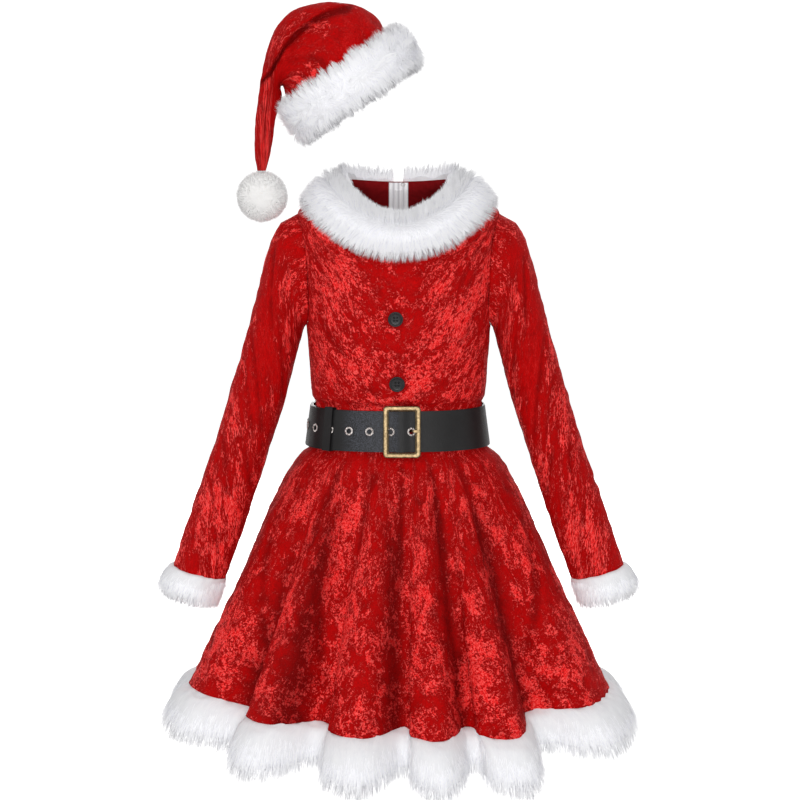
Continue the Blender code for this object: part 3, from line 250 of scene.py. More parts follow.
HAT_PATCHES = (
    (0.034, 0.040, 0.022, 0.040, 0.110),
    (0.058, 0.030, 0.016, 0.030, 0.110),
    (-0.058, 0.034, 0.018, 0.018, 0.090),
    (-0.030, 0.110, 0.022, 0.014, 0.090),
    (-0.022, 0.150, 0.014, 0.030, 0.090),
    (-0.020, 0.050, 0.034, 0.034, -0.080),
    (0.000, 0.200, 0.020, 0.050, 0.120),
    (0.004, 0.260, 0.014, 0.040, 0.120),
)

# Creases pressed into the cloth: from (round, down) to (round, down), in metres on
# the cloth from the panel's middle and its top edge, with the crease's half width and depth
CREASE_COLUMNS = ("round_a", "down_a", "round_b", "down_b", "width", "depth")
BODICE_CREASES = (
    (-0.118, 0.070, -0.075, 0.112, 0.0055, -0.0014),
    (-0.122, 0.098, -0.064, 0.128, 0.0060, -0.0013),
    (-0.112, 0.124, -0.078, 0.150, 0.0050, -0.0010),
    (0.120, 0.066, 0.080, 0.104, 0.0055, -0.0013),
    (0.124, 0.096, 0.070, 0.136, 0.0060, -0.0014),
    (0.110, 0.128, 0.082, 0.146, 0.0045, -0.0010),
    (-0.104, 0.190, -0.050, 0.204, 0.0065, -0.0012),
    (0.100, 0.184, 0.044, 0.206, 0.0065, -0.0013),
    (-0.060, 0.222, -0.012, 0.214, 0.0060, -0.0009),
    (0.014, 0.219, 0.066, 0.226, 0.0060, -0.0010),
    (-0.030, 0.150, 0.022, 0.146, 0.0090, 0.0008),
)
BACK_CREASES = (
    (-0.052, 0.072, -0.018, 0.104, 0.0055, -0.0013),
    (-0.048, 0.112, -0.010, 0.132, 0.0060, -0.0011),
    (0.044, 0.082, 0.014, 0.118, 0.0050, -0.0012),
    (-0.040, 0.186, 0.012, 0.200, 0.0065, -0.0011),
    (0.048, 0.192, 0.010, 0.212, 0.0060, -0.0012),
    (-0.020, 0.150, 0.024, 0.158, 0.0080, 0.0008),
)
SLEEVE_CREASES = (
    (0.030, 0.040, 0.058, 0.092, 0.0060, -0.0018),
    (-0.036, 0.052, -0.010, 0.080, 0.0050, -0.0013),
    (0.072, 0.070, 0.098, 0.104, 0.0055, -0.0016),
    (0.024, 0.150, 0.080, 0.172, 0.0060, -0.0017),
    (0.020, 0.182, 0.064, 0.196, 0.0050, -0.0014),
    (-0.070, 0.166, -0.022, 0.190, 0.0060, -0.0016),
    (0.046, 0.226, 0.096, 0.214, 0.0055, -0.0014),
    (-0.052, 0.236, -0.008, 0.222, 0.0055, -0.0014),
    (0.012, 0.268, 0.060, 0.284, 0.0060, -0.0015),
    (-0.086, 0.272, -0.036, 0.292, 0.0055, -0.0014),
    (0.030, 0.322, 0.082, 0.334, 0.0055, -0.0013),
    (-0.040, 0.340, 0.010, 0.352, 0.0055, -0.0012),
    (-0.100, 0.118, -0.072, 0.136, 0.0055, -0.0014),
    (0.058, 0.362, 0.096, 0.354, 0.0050, -0.0011),
)
SKIRT_CREASES = (
    (-0.062, 0.030, -0.118, 0.150, 0.0050, -0.0018),
    (-0.024, 0.034, -0.060, 0.168, 0.0045, -0.0015),
    (0.004, 0.040, 0.002, 0.196, 0.0040, -0.0019),
    (0.034, 0.028, 0.064, 0.160, 0.0045, -0.0016),
    (0.066, 0.034, 0.134, 0.178, 0.0050, -0.0018),
    (-0.166, 0.118, -0.236, 0.262, 0.0060, -0.0017),
    (0.176, 0.124, 0.252, 0.286, 0.0060, -0.0018),
    (-0.300, 0.210, -0.352, 0.322, 0.0060, -0.0018),
    (0.320, 0.220, 0.372, 0.328, 0.0060, -0.0017),
    (-0.110, 0.190, -0.136, 0.318, 0.0050, -0.0014),
    (0.096, 0.202, 0.118, 0.330, 0.0050, -0.0014),
)
HAT_CREASES = (
    (0.030, 0.012, 0.046, 0.070, 0.0045, -0.0018),
    (0.044, 0.010, 0.058, 0.062, 0.0045, -0.0016),
    (0.060, 0.008, 0.070, 0.060, 0.0050, -0.0018),
    (0.006, 0.020, 0.018, 0.084, 0.0050, -0.0015),
    (0.012, 0.140, 0.024, 0.198, 0.0045, -0.0009),
    (-0.008, 0.150, 0.004, 0.220, 0.0045, -0.0009),
    (0.004, 0.200, -0.006, 0.262, 0.0040, -0.0007),
    (0.010, 0.250, 0.002, 0.292, 0.0035, -0.0005),
    (-0.060, 0.016, -0.046, 0.058, 0.0065, -0.0012),
)

HEM_PROFILE = ((0.0016, -0.008), (0.0013, 0.006), (0.014, 0.019), (0.036, 0.023),
               (0.055, 0.018), (0.064, 0.004), (0.056, -0.010), (0.028, -0.014))
HEM_VALLEY_LENGTH = 0.76
HEM_SIDE_TUCK = 0.18
CUFF_PROFILE = ((0.0006, -0.007), (0.0006, 0.004), (0.008, 0.009), (0.020, 0.0115),
                (0.031, 0.008), (0.036, 0.000), (0.032, -0.009), (0.014, -0.0105))
CUFF_PRESS = 0.85
CUFF_PRESS_SIDE = 0.9
COLLAR_WIDTH = 0.85
COLLAR_LEVELS = (0.0, 0.3, 0.58, 0.85)
COLLAR_CLEARANCE = 0.0009
COLLAR_TOP = ((1.04, 0.007), (1.05, 0.016), (0.86, 0.024), (0.55, 0.029), (0.24, 0.027),
              (0.00, 0.021))
COLLAR_SIDE_TUCK = 0.12
COLLAR_RIM_FRONT = 0.002
NECK_STAND = 0.008
HAT_BAND_PROFILE = ((-0.008, -0.0235), (0.008, -0.0265), (0.017, -0.0180), (0.0205, 0.0000),
                    (0.017, 0.0170), (0.009, 0.0235), (0.0012, 0.0210), (0.0012, -0.0165),
                    (-0.008, -0.0165))
HAT_BAND_SLIM = 0.42
POMPOM_CENTRE = (-0.1620, 0.0, -0.0080)
POMPOM_RADIUS = 0.0310

# How much of each fur solid its dense core fills; the strands reach the rest of the way
HEM_CORE = 0.84
CUFF_CORE = 0.82
COLLAR_CORE = 0.80
COLLAR_CORE_EDGE = 0.86
COLLAR_BACK_LOWER = 0.30
COLLAR_NECK_LOWER = 0.62
BAND_CORE = 0.80
BAND_CORE_TALL = 0.84
POMPOM_CORE = 0.80
CORE_LUMP = 0.05
STRAND_STRAY = 0.16
STRAND_ROOT_DEPTH = 0.0010
STRAND_SOFT = 0.86

# Each pile: its strands' number and width, how far they fall under their weight, the size of a
# tuft in grid steps, how much the tips gather in it, and how far the strands stand off the skin
HEM_PILE = {"count": 26500, "width": 0.00058, "droop": 0.30, "clump": (1.9, 2.2),
            "gather": 0.55, "lift": 0.17}
CUFF_PILE = {"count": 7600, "width": 0.00062, "droop": 0.20, "clump": (2.6, 2.4),
             "gather": 0.5, "lift": 0.16}
COLLAR_PILE = {"count": 24500, "width": 0.00058, "droop": 0.06, "clump": (2.0, 1.8),
               "gather": 0.50, "lift": 0.18}
COLLAR_TUFTS = {"count": 2600, "width": 0.00066, "droop": 0.02, "clump": (2.3, 3.4),
                "gather": 0.92, "lift": 0.20}
BAND_PILE = {"count": 18500, "width": 0.00062, "droop": 0.06, "clump": (2.4, 2.2),
             "gather": 0.5, "lift": 0.16}
POMPOM_STRANDS = 16000
POMPOM_TUFTS = 900

# How many points each piece has round it, and each fur section round itself
BODICE_FRONT_STEPS = 121
BODICE_BACK_STEPS = 61
SLEEVE_STEPS = 64
SKIRT_STEPS = 241
HAT_STEPS = 61
HEM_STEPS = 221
HEM_SIDES = 32
CUFF_STEPS = 96
CUFF_SIDES = 26
COLLAR_STEPS = 200
COLLAR_SIDES = 44
BAND_STEPS = 150
BAND_SIDES = 36


# Numbers

def column(columns, rows, name):
    index = columns.index(name)
    return np.array([row[index] for row in rows], float)


def curve(knots, values, t):
    """A smooth curve through the values, one for each knot, at every t."""
    t = np.clip(t, knots[0], knots[-1])
    steps = np.diff(knots)
    rates = np.diff(values) / steps
    slopes = np.zeros(len(knots))
    slopes[0] = rates[0]
    slopes[-1] = rates[-1]
    product = rates[:-1] * rates[1:]
    total = rates[:-1] + rates[1:]
    slopes[1:-1] = np.where(product > 0, 2 * product / np.where(product > 0, total, 1.0), 0.0)
    i = np.clip(np.searchsorted(knots, t, side="left") - 1, 0, len(steps) - 1)
    u = (t - knots[i]) / steps[i]
    m0 = slopes[i] * steps[i]
    m1 = slopes[i + 1] * steps[i]
    d = values[i + 1] - values[i]
    return values[i] + m0 * u + (3 * d - 2 * m0 - m1) * u * u + (m0 + m1 - 2 * d) * u ** 3


def ease(u):
    u = np.clip(u, 0.0, 1.0)
    return u * u * (3 - 2 * u)


def signed_power(value, power):
    return np.sign(value) * np.abs(value) ** power


def unit(vectors):
    return vectors / np.maximum(np.linalg.norm(vectors, axis=-1, keepdims=True), 1e-9)


def stack(x, y, z):
    x, y, z = np.broadcast_arrays(x, y, z)
    return np.stack((x, y, z), axis=-1)


def waves(seed, count, shortest, longest):
    """Directions and phases for a smooth irregular field with wavelengths in that range."""
    rng = np.random.default_rng(seed)
    ways = unit(rng.normal(size=(count, 3)))
    lengths = np.exp(rng.uniform(math.log(shortest), math.log(longest), count))
    return ways * (2 * math.pi / lengths)[:, None], rng.uniform(0, 2 * math.pi, count)


def field(points, kit):
    """A smooth irregular value, mostly from -1 to 1, at each point."""
    ways, phases = kit
    total = np.zeros(points.shape[:-1])
    for way, phase in zip(ways, phases):
        total += np.sin(points @ way + phase)
    return total / math.sqrt(len(phases) / 2) * 0.6


# Surfaces

def oval(phi, half_width, front, back, square):
    power = 2 / square
    depth = np.where(np.cos(phi) > 0, front, back)
    return half_width * signed_power(np.sin(phi), power), -depth * signed_power(np.cos(phi), power)


def body_value(name, level):
    return curve(column(BODY_COLUMNS, BODY_RINGS, "level"),
                 column(BODY_COLUMNS, BODY_RINGS, name), level)


def body_point(phi, level):
    x, y = oval(phi, body_value("half_width", level), body_value("front", level),
                body_value("back", level), body_value("square", level))
    side_z = body_value("side_z", level)
    centre_z = np.where(np.cos(phi) > 0, body_value("front_z", level), body_value("back_z", level))
    return stack(x, y, side_z + (centre_z - side_z) * np.cos(phi) ** 2)


def skirt_value(name, length):
    return curve(column(SKIRT_COLUMNS, SKIRT_RINGS, "length"),
                 column(SKIRT_COLUMNS, SKIRT_RINGS, name), length)


def skirt_base(phi, length):
    square = SKIRT_SQUARE + (WAIST_SQUARE - SKIRT_SQUARE) * ease(1 - length / ROUNDING_LENGTH)
    x, y = oval(phi, skirt_value("half_width", length), skirt_value("front", length),
                skirt_value("back", length), square)
    top = SKIRT_RINGS[0][2]
    drop = top - skirt_value("side_z", length)
    return stack(x, y, top - drop * (1 + (FRONT_DROP - 1) * np.cos(phi) ** 2))


def skirt_out(phi, length):
    step = math.radians(1.0)
    along = skirt_base(phi + step, length) - skirt_base(phi - step, length)
    return unit(stack(along[..., 1], -along[..., 0], 0.0))


def fold_state(phi, length):
    """How far the folds move a point out and round here."""
    angles = column(FOLD_COLUMNS, FOLDS, "angle")
    reach = column(FOLD_COLUMNS, FOLDS, "reach")
    start = column(FOLD_COLUMNS, FOLDS, "start")
    lean = column(FOLD_COLUMNS, FOLDS, "lean")
    count = len(FOLDS)
    degrees = (np.degrees(phi) - angles[0]) % 360 + angles[0]
    i = np.clip(np.searchsorted(angles, degrees, side="right") - 1, 0, count - 1)
    j = (i + 1) % count
    end = np.where(i < count - 1, angles[j], angles[0] + 360)
    u = (degrees - angles[i]) / (end - angles[i])
    rising = reach[j] > reach[i]
    # The left side of a ridge stands up steeply; its right side runs out softly
    shaped = np.where(rising, ease((u - 0.30) / 0.62), ease(u / 0.94))
    blend = 0.35 * (1 - np.cos(math.pi * u)) / 2 + 0.65 * shaped

    def grown(k):
        return np.maximum(0.0, (length - start[k]) / (1 - start[k])) ** FOLD_GROWTH

    out = reach[i] * grown(i) * (1 - blend) + reach[j] * grown(j) * blend
    swell = FOLD_SWELL * np.sin(math.pi * u) * (grown(i) + grown(j)) / 2
    side = np.where(reach[i] > 0, swell, -swell)
    leaning = np.where(rising, lean[j] * np.sin(math.pi * ease((u - 0.25) / 0.75)) ** 2, 0.0)
    hang = column(FOLD_COLUMNS, FOLDS, "hang")
    lower = (hang[i] * (1 - blend) + hang[j] * blend) * ease(length)
    return out, side - leaning * ease(length * 1.3 - 0.3), lower


def skirt_point(phi, length):
    phi, length = np.broadcast_arrays(phi, length)
    out, side, lower = fold_state(phi, length)
    outward = skirt_out(phi, length)
    sideways = stack(-outward[..., 1], outward[..., 0], 0.0)
    folded = outward * out[..., None] + sideways * side[..., None] - UP * lower[..., None]
    return skirt_base(phi, length) + folded


def surface_normal(point, a, b):
    da = 0.01
    db = 0.002
    round_way = point(a + da, b) - point(a - da, b)
    down = point(a, b + db) - point(a, b - db)
    return unit(np.cross(down, round_way))


def armhole_bite(level, widest):
    inside = (level > 1) & (level < 2)
    turn = np.arccos(np.clip(1 - 2 * (level - 1), -1, 1))
    return np.where(inside, widest * np.sin(turn) ** ARMHOLE_ROUND, 0.0)


def armhole_point(s):
    """The left armhole; s runs from the shoulder tip down the front and up the back."""
    level = 1 + (1 - np.cos(s)) / 2
    front = s <= math.pi
    bite = np.where(front, ARMHOLE_BITE_FRONT, ARMHOLE_BITE_BACK)
    bite = bite * np.abs(np.sin(s)) ** ARMHOLE_ROUND
    return body_point(np.where(front, -math.pi / 2 + bite, -math.pi / 2 - bite), level)


def sleeve_point(s, row):
    """The left sleeve's surface; row 0 is the armhole and row 1 the first table ring."""
    knots = np.arange(1, len(SLEEVE_RINGS) + 1, dtype=float)
    at = np.maximum(row, 1.0)
    value = {name: curve(knots, column(SLEEVE_COLUMNS, SLEEVE_RINGS, name), at)
             for name in SLEEVE_COLUMNS}
    outer = stack(value["outer_x"], -value["forward"], value["outer_z"])
    inner = stack(value["inner_x"], -value["forward"], value["inner_z"])
    centre = (outer + inner) / 2
    across = stack(0.0, -value["half_depth"] * signed_power(np.sin(s), 0.92), 0.0)
    ring = centre + (outer - centre) * signed_power(np.cos(s), 0.92)[..., None] + across
    share = np.clip(1.0 - row, 0.0, 1.0)[..., None]
    return ring * (1 - share) + armhole_point(s) * share


def flap_state(s, ring):
    """Whether a ring has the folded flap, and how many soft widths a point is inside it."""
    edge = curve(column(FLAP_COLUMNS, FLAP_EDGE, "ring"), column(FLAP_COLUMNS, FLAP_EDGE, "edge"),
                 ring)
    inside = ease((ring - 5.6) * 2) * ease((13.4 - ring) * 2)
    return inside, ((1 + np.cos(s)) / 2 - edge) / FLAP_SOFT


def hat_point(s, ring):
    """The hat's surface; s is 0 at the outside of the bend and rises over the front."""
    knots = np.arange(len(HAT_RINGS), dtype=float)
    value = {name: curve(knots, column(HAT_COLUMNS, HAT_RINGS, name), ring)
             for name in HAT_COLUMNS}
    near = stack(value["near_x"], 0.0, value["near_z"])
    far = stack(value["far_x"], 0.0, value["far_z"])
    centre = (near + far) / 2
    inside, apart = flap_state(s, ring)
    rise = FLAP_RISE * inside * ease(apart + 0.5)
    rise = rise - FLAP_GROOVE * inside * np.exp(-(apart + 1.0) ** 2)
    front = np.sin(s) > 0
    y = value["depth"] * np.sin(s)
    y = y + np.where(front, rise * np.sqrt(np.maximum(np.sin(s), 0.0)), 0.0)
    return centre + (far - centre) * np.cos(s)[..., None] - stack(0.0, y, 0.0)


# Meshes

def grid_normals(points, closed):
    if closed:
        after = np.roll(points, -1, axis=1)
        before = np.roll(points, 1, axis=1)
    else:
        after = np.concatenate((points[:, 1:], points[:, -1:]), axis=1)
        before = np.concatenate((points[:, :1], points[:, :-1]), axis=1)
    above = np.concatenate((points[:1], points[:-1]))
    below = np.concatenate((points[1:], points[-1:]))
    return unit(np.cross(below - above, after - before))


def cloth_lengths(points):
    """Metres round the cloth from its middle column, and down it from its top row."""
    round_steps = np.linalg.norm(np.diff(points, axis=1), axis=-1)
    round_way = np.concatenate((np.zeros((len(points), 1)), np.cumsum(round_steps, axis=1)), axis=1)
    round_way = round_way - round_way[:, [points.shape[1] // 2]]
    down_steps = np.linalg.norm(np.diff(points, axis=0), axis=-1)
    down = np.concatenate((np.zeros((1, points.shape[1])), np.cumsum(down_steps, axis=0)))
    return round_way, down


def creased(points, normals, lengths, creases, crumple, seed, shares=None):
    """Presses the listed creases and a slight crumple into a cloth grid."""
    round_way, down = lengths
    here = np.stack((round_way, down), axis=-1)
    offset = np.zeros(round_way.shape)
    for round_a, down_a, round_b, down_b, width, depth in creases:
        start = np.array((round_a, down_a))
        way = np.array((round_b, down_b)) - start
        along = np.clip(((here - start) @ way) / (way @ way), 0.0, 1.0)
        apart = np.linalg.norm(here - start - along[..., None] * way, axis=-1)
        fade = np.sin(math.pi * np.clip(along * 0.86 + 0.07, 0, 1)) ** 0.7
        body = np.exp(-(apart / width) ** 2) - 0.45 * np.exp(-((apart - 2 * width) / width) ** 2)
        offset += depth * fade * body
    kit = waves(seed, 40, 0.010, 0.045)
    offset += crumple * field(points, kit)
    if shares is not None:
        offset = offset * shares
    return points + normals * offset[..., None], offset


def cloth_marks(lengths, offset, patches, cover, valley_shade=0.0):
    """How crushed the pile is at each point, and the painted shade in its creases and folds."""
    round_way, down = lengths
    crushed = np.full(round_way.shape, cover)
    for at_round, at_down, wide, tall, amount in patches:
        apart = ((round_way - at_round) / wide) ** 2 + ((down - at_down) / tall) ** 2
        crushed += amount * np.exp(-apart)
    # Painted shade: darker where a crease presses in, plus the valley shade given
    painted_shade = np.clip(-offset / 0.0024, 0.0, 0.6)
    return {"crushed": crushed, "painted_shade": np.clip(painted_shade + valley_shade, 0.0, 1.0)}


def linked(name, data):
    obj = bpy.data.objects.new(name, data)
    bpy.context.scene.collection.objects.link(obj)
    return obj


def add_uv(mesh, name, flat):
    """A UV layer from one place for each vertex."""
    loops = np.empty(len(mesh.loops), np.int32)
    mesh.loops.foreach_get("vertex_index", loops)
    layer = mesh.uv_layers.new(name=name)
    layer.data.foreach_set("uv", flat[loops].astype(np.float32).ravel())


def mended(obj, merge=0.0, bridge=False):
    """Merges points closer than merge, bridges open edges if asked, and turns faces outward."""
    bm = bmesh.new()
    bm.from_mesh(obj.data)
    if merge:
        bmesh.ops.remove_doubles(bm, verts=bm.verts, dist=merge)
    if bridge:
        bmesh.ops.bridge_loops(bm, edges=[edge for edge in bm.edges if edge.is_boundary])
    bmesh.ops.recalc_face_normals(bm, faces=bm.faces)
    bm.to_mesh(obj.data)
    bm.free()


def mesh_object(name, verts, faces, materials, slots=None):
    mesh = bpy.data.meshes.new(name)
    mesh.from_pydata(np.asarray(verts).tolist(), [], faces)
    for material in materials:
        mesh.materials.append(material)
    if slots is not None:
        mesh.polygons.foreach_set("material_index", np.asarray(slots, np.int32))
    mesh.shade_smooth()
    return linked(name, mesh)


def quads(rows, cols, first, closed, flip=False):
    r = np.arange(rows - 1)[:, None]
    c = np.arange(cols if closed else cols - 1)[None, :]
    d = (c + 1) % cols
    four = (first + r * cols + c, first + r * cols + d,
            first + (r + 1) * cols + d, first + (r + 1) * cols + c)
    four = np.stack(np.broadcast_arrays(*four), axis=-1).reshape(-1, 4)
    return four[:, ::-1] if flip else four


def shell(name, outer, inner, materials, closed, uv, marks):
    """A closed cloth shell: a fine outer skin, and an inner skin at every second point."""
    rows, cols = outer.shape[:2]
    inner = inner[::2, ::2]
    in_rows, in_cols = inner.shape[:2]
    first = rows * cols
    verts = np.concatenate((outer.reshape(-1, 3), inner.reshape(-1, 3)))
    outside = quads(rows, cols, 0, closed, flip=True)
    inside = quads(in_rows, in_cols, first, closed)
    rims = []
    for row, in_row, turn in ((0, 0, False), (rows - 1, in_rows - 1, True)):
        for c in range(0, cols - (0 if closed else 1), 2):
            fine = [row * cols + (c + k) % cols for k in range(3)]
            coarse = [first + in_row * in_cols + (c // 2 + k) % in_cols for k in (1, 0)]
            rims.append((fine + coarse)[::-1] if turn else fine + coarse)
    if not closed:
        for col, in_col, turn in ((0, 0, True), (cols - 1, in_cols - 1, False)):
            for r in range(0, rows - 1, 2):
                fine = [(r + k) * cols + col for k in range(3)]
                coarse = [first + (r // 2 + k) * in_cols + in_col for k in (1, 0)]
                rims.append((fine + coarse)[::-1] if turn else fine + coarse)
    faces = outside.tolist() + inside.tolist() + rims
    slots = [0] * len(outside) + [1] * len(inside) + [0] * len(rims)
    obj = mesh_object(name, verts, faces, materials, slots)
    flat = np.concatenate((uv.reshape(-1, 2), uv[::2, ::2].reshape(-1, 2)))
    add_uv(obj.data, "cloth", flat)
    for key, values in marks.items():
        mark = obj.data.attributes.new(key, "FLOAT", "POINT")
        both = np.concatenate((values.ravel(), values[::2, ::2].ravel()))
        mark.data.foreach_set("value", both.astype(np.float32))
    return obj


def inner_skin(outer, normals, lowest):
    """The skin inside the cloth, kept clear of the outer skin's creases."""
    return outer - normals * (VELVET + lowest)[..., None]


def sagging(plain, made, normals):
    """How far below the plain surface the creased one falls near each point."""
    depth = np.sum((plain - made) * normals, axis=-1)
    near = depth.copy()
    for axis in (0, 1):
        for shift in (-1, 1):
            near = np.maximum(near, np.roll(depth, shift, axis=axis))
    return np.maximum(near - depth, 0.0)


def cloth_piece(name, plain, creases, crumple, seed, material, shares, patches, cover,
                valley_shade=0.0, straight=None):
    """A velvet panel; straight is the row whose lengths round the cloth all rows take."""
    normals = grid_normals(plain, False)
    lengths = cloth_lengths(plain)
    made, offset = creased(plain, normals, lengths, creases, crumple, seed, shares)
    inner = inner_skin(made, normals, sagging(plain, made, normals))
    marks = cloth_marks(lengths, offset, patches, cover, valley_shade)
    round_way, down = lengths
    if straight is not None:
        round_way = np.broadcast_to(round_way[straight], round_way.shape)
    uv = np.stack((round_way, down), axis=-1)
    obj = shell(name, made, inner, (material, LINING), False, uv, marks)
    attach(obj, "garment")
    return obj


# Materials

def tree_of(name):
    material = bpy.data.materials.new(name)
    material.use_nodes = True
    tree = material.node_tree
    return material, tree, tree.nodes["Principled BSDF"]


def node(tree, kind, **settings):
    made = tree.nodes.new(kind)
    for key, value in settings.items():
        if key in made.inputs:
            made.inputs[key].default_value = value
        else:
            setattr(made, key, value)
    return made


def ramp(tree, value, stops):
    """Colours for a value; each stop is its position and its colour."""
    made = tree.nodes.new("ShaderNodeValToRGB")
    elements = made.color_ramp.elements
    while len(elements) < len(stops):
        elements.new(0.5)
    for element, (position, color) in zip(elements, stops):
        element.position = position
        element.color = (*color, 1.0)
    tree.links.new(value, made.inputs[0])
    return made.outputs[0]


def grey(value):
    return (value, value, value)


def maths(tree, operation, a, b=None, clamp=False):
    made = node(tree, "ShaderNodeMath", operation=operation, use_clamp=clamp)
    for index, value in enumerate((a, b)):
        if value is None:
            continue
        if isinstance(value, (int, float)):
            made.inputs[index].default_value = value
        else:
            tree.links.new(value, made.inputs[index])
    return made.outputs[0]


def noise(tree, vector, scale, detail=4.0, rough=0.6, distortion=0.0):
    made = node(tree, "ShaderNodeTexNoise", Scale=scale, Detail=detail, Roughness=rough,
                Distortion=distortion)
    tree.links.new(vector, made.inputs["Vector"])
    return made


def scaled(tree, vector, scale, turn=0.0):
    made = node(tree, "ShaderNodeMapping", Scale=scale, Rotation=(0.0, 0.0, turn))
    tree.links.new(vector, made.inputs["Vector"])
    return made.outputs[0]


def mixed(tree, factor, a, b, blend="MIX"):
    made = node(tree, "ShaderNodeMix", data_type="RGBA", blend_type=blend)
    for socket, value in (("Factor", factor), ("A", a), ("B", b)):
        if isinstance(value, (int, float, tuple)):
            made.inputs[socket].default_value = value
        else:
            tree.links.new(value, made.inputs[socket])
    return made.outputs["Result"]


def weighted(tree, terms):
    """The sum of sources, each less its middle value and times its weight."""
    total = None
    for source, middle, weight in terms:
        term = maths(tree, "MULTIPLY", maths(tree, "SUBTRACT", source, middle), weight)
        total = term if total is None else maths(tree, "ADD", total, term)
    return total


def mapped(tree, value, low, high):
    made = node(tree, "ShaderNodeMapRange", interpolation_type="SMOOTHSTEP")
    tree.links.new(value, made.inputs["Value"])
    made.inputs["From Min"].default_value = low
    made.inputs["From Max"].default_value = high
    return made.outputs[0]


def finish_shader(tree, shader, color, rough, bump=None, values=None):
    """Sets the colour and roughness; bump is its height, strength and distance."""
    for socket, value in (("Base Color", color), ("Roughness", rough)):
        if isinstance(value, float):
            shader.inputs[socket].default_value = value
        else:
            tree.links.new(value, shader.inputs[socket])
    if bump:
        height, strength, distance = bump
        made = node(tree, "ShaderNodeBump", Strength=strength, Distance=distance)
        tree.links.new(height, made.inputs["Height"])
        tree.links.new(made.outputs[0], shader.inputs["Normal"])
    for socket, value in (values or {}).items():
        shader.inputs[socket].default_value = value


def velvet_material(name, streak, turn=0.0):
    """Crushed velvet: bright crushed patches with ragged edges on a dark flat red; painted shade in
    the creases and folds.
    """
    material, tree, shader = tree_of(name)
    cloth = node(tree, "ShaderNodeUVMap", uv_map="cloth").outputs[0]
    more = node(tree, "ShaderNodeAttribute", attribute_name="crushed").outputs["Fac"]
    depth = node(tree, "ShaderNodeAttribute", attribute_name="painted_shade").outputs["Fac"]
    stretched = scaled(tree, cloth, (1.0, streak, 1.0), turn)
    warp = noise(tree, stretched, 60.0, 4.0, 0.65)
    centred = node(tree, "ShaderNodeVectorMath", operation="MULTIPLY_ADD")
    tree.links.new(warp.outputs["Color"], centred.inputs[0])
    centred.inputs[1].default_value = (0.022, 0.022, 0.0)
    tree.links.new(stretched, centred.inputs[2])
    warped = centred.outputs[0]
    large = noise(tree, warped, 26.0, 3.0, 0.55).outputs[0]
    patch = noise(tree, warped, 105.0, 8.0, 0.76, 0.7).outputs[0]
    flake = noise(tree, scaled(tree, cloth, (1.0, 0.8, 1.0), turn), 400.0, 3.0, 0.60,
                  1.2).outputs[0]
    grain = noise(tree, cloth, 520.0, 3.0, 0.70, 0.6).outputs[0]
    fine = noise(tree, cloth, 1200.0, 2.0, 0.6).outputs[0]
    value = weighted(tree, ((large, 0.5, 0.62), (patch, 0.5, 0.95), (flake, 0.5, 0.50),
                            (grain, 0.5, 0.22), (more, 0.0, 1.0)))
    crushed = mapped(tree, value, 0.008, 0.085)
    # Thin light veins run through the flat pile between the patches
    ridge = maths(tree, "ABSOLUTE", maths(tree, "SUBTRACT", patch, 0.53))
    vein = mapped(tree, maths(tree, "SUBTRACT", 0.018, ridge), 0.0, 0.018)
    vein = maths(tree, "MULTIPLY", vein, maths(tree, "MULTIPLY", grain, 0.75))
    lit = maths(tree, "MAXIMUM", crushed, vein)
    tone = weighted(tree, ((flake, 0.0, 0.42), (grain, 0.0, 0.30), (fine, 0.0, 0.28)))
    flat = ramp(tree, tone, ((0.40, (0.330, 0.0004, 0.0007)), (0.60, (0.640, 0.0012, 0.0015))))
    bright = ramp(tree, tone, ((0.43, (0.50, 0.001, 0.002)), (0.495, (0.96, 0.012, 0.012)),
                               (0.57, (1.00, 0.115, 0.105))))
    color = mixed(tree, lit, flat, bright)
    # The flat pile is darkest close beside a crushed patch
    beside = mapped(tree, value, -0.10, 0.015)
    beside = maths(tree, "MULTIPLY", beside, maths(tree, "SUBTRACT", 1.0, lit))
    color = mixed(tree, maths(tree, "MULTIPLY", beside, 0.38), color, (0.20, 0.0, 0.0, 1.0))
    # Painted shade: the colour darkens in the creases and in the folds' valleys
    shade_tint = ramp(tree, depth, ((0.0, grey(1.0)), (1.0, (0.42, 0.30, 0.30))))
    color = mixed(tree, 1.0, color, shade_tint, "MULTIPLY")
    rough = ramp(tree, crushed, ((0.0, grey(0.72)), (1.0, grey(0.55))))
    height = weighted(tree, ((crushed, 0.0, 0.45), (flake, 0.0, 1.1), (grain, 0.0, 0.5),
                             (fine, 0.0, 0.2)))
    finish_shader(tree, shader, color, rough, (height, 0.8, 0.0013),
                  {"Specular IOR Level": 0.04, "Sheen Weight": 0.10, "Sheen Roughness": 0.35,
                   "Sheen Tint": (1.0, 0.03, 0.04, 1.0)})
    return material


def lining_material():
    """The matte knitted back of the velvet."""
    material, tree, shader = tree_of("velvet_back")
    cloth = node(tree, "ShaderNodeUVMap", uv_map="cloth").outputs[0]
    knit = node(tree, "ShaderNodeTexWave", Scale=420.0, Distortion=1.5, Detail=2.0)
    tree.links.new(scaled(tree, cloth, (1.0, 0.3, 1.0)), knit.inputs["Vector"])
    cloudy = noise(tree, cloth, 120.0, 4.0, 0.6)
    tone = weighted(tree, ((knit.outputs["Fac"], 0.0, 0.35), (cloudy.outputs[0], 0.0, 0.65)))
    color = ramp(tree, tone, ((0.25, (0.150, 0.0030, 0.0045)), (0.75, (0.300, 0.0080, 0.0110))))
    finish_shader(tree, shader, color, 0.92, (knit.outputs["Fac"], 0.35, 0.0003),
                  {"Specular IOR Level": 0.05})
    return material


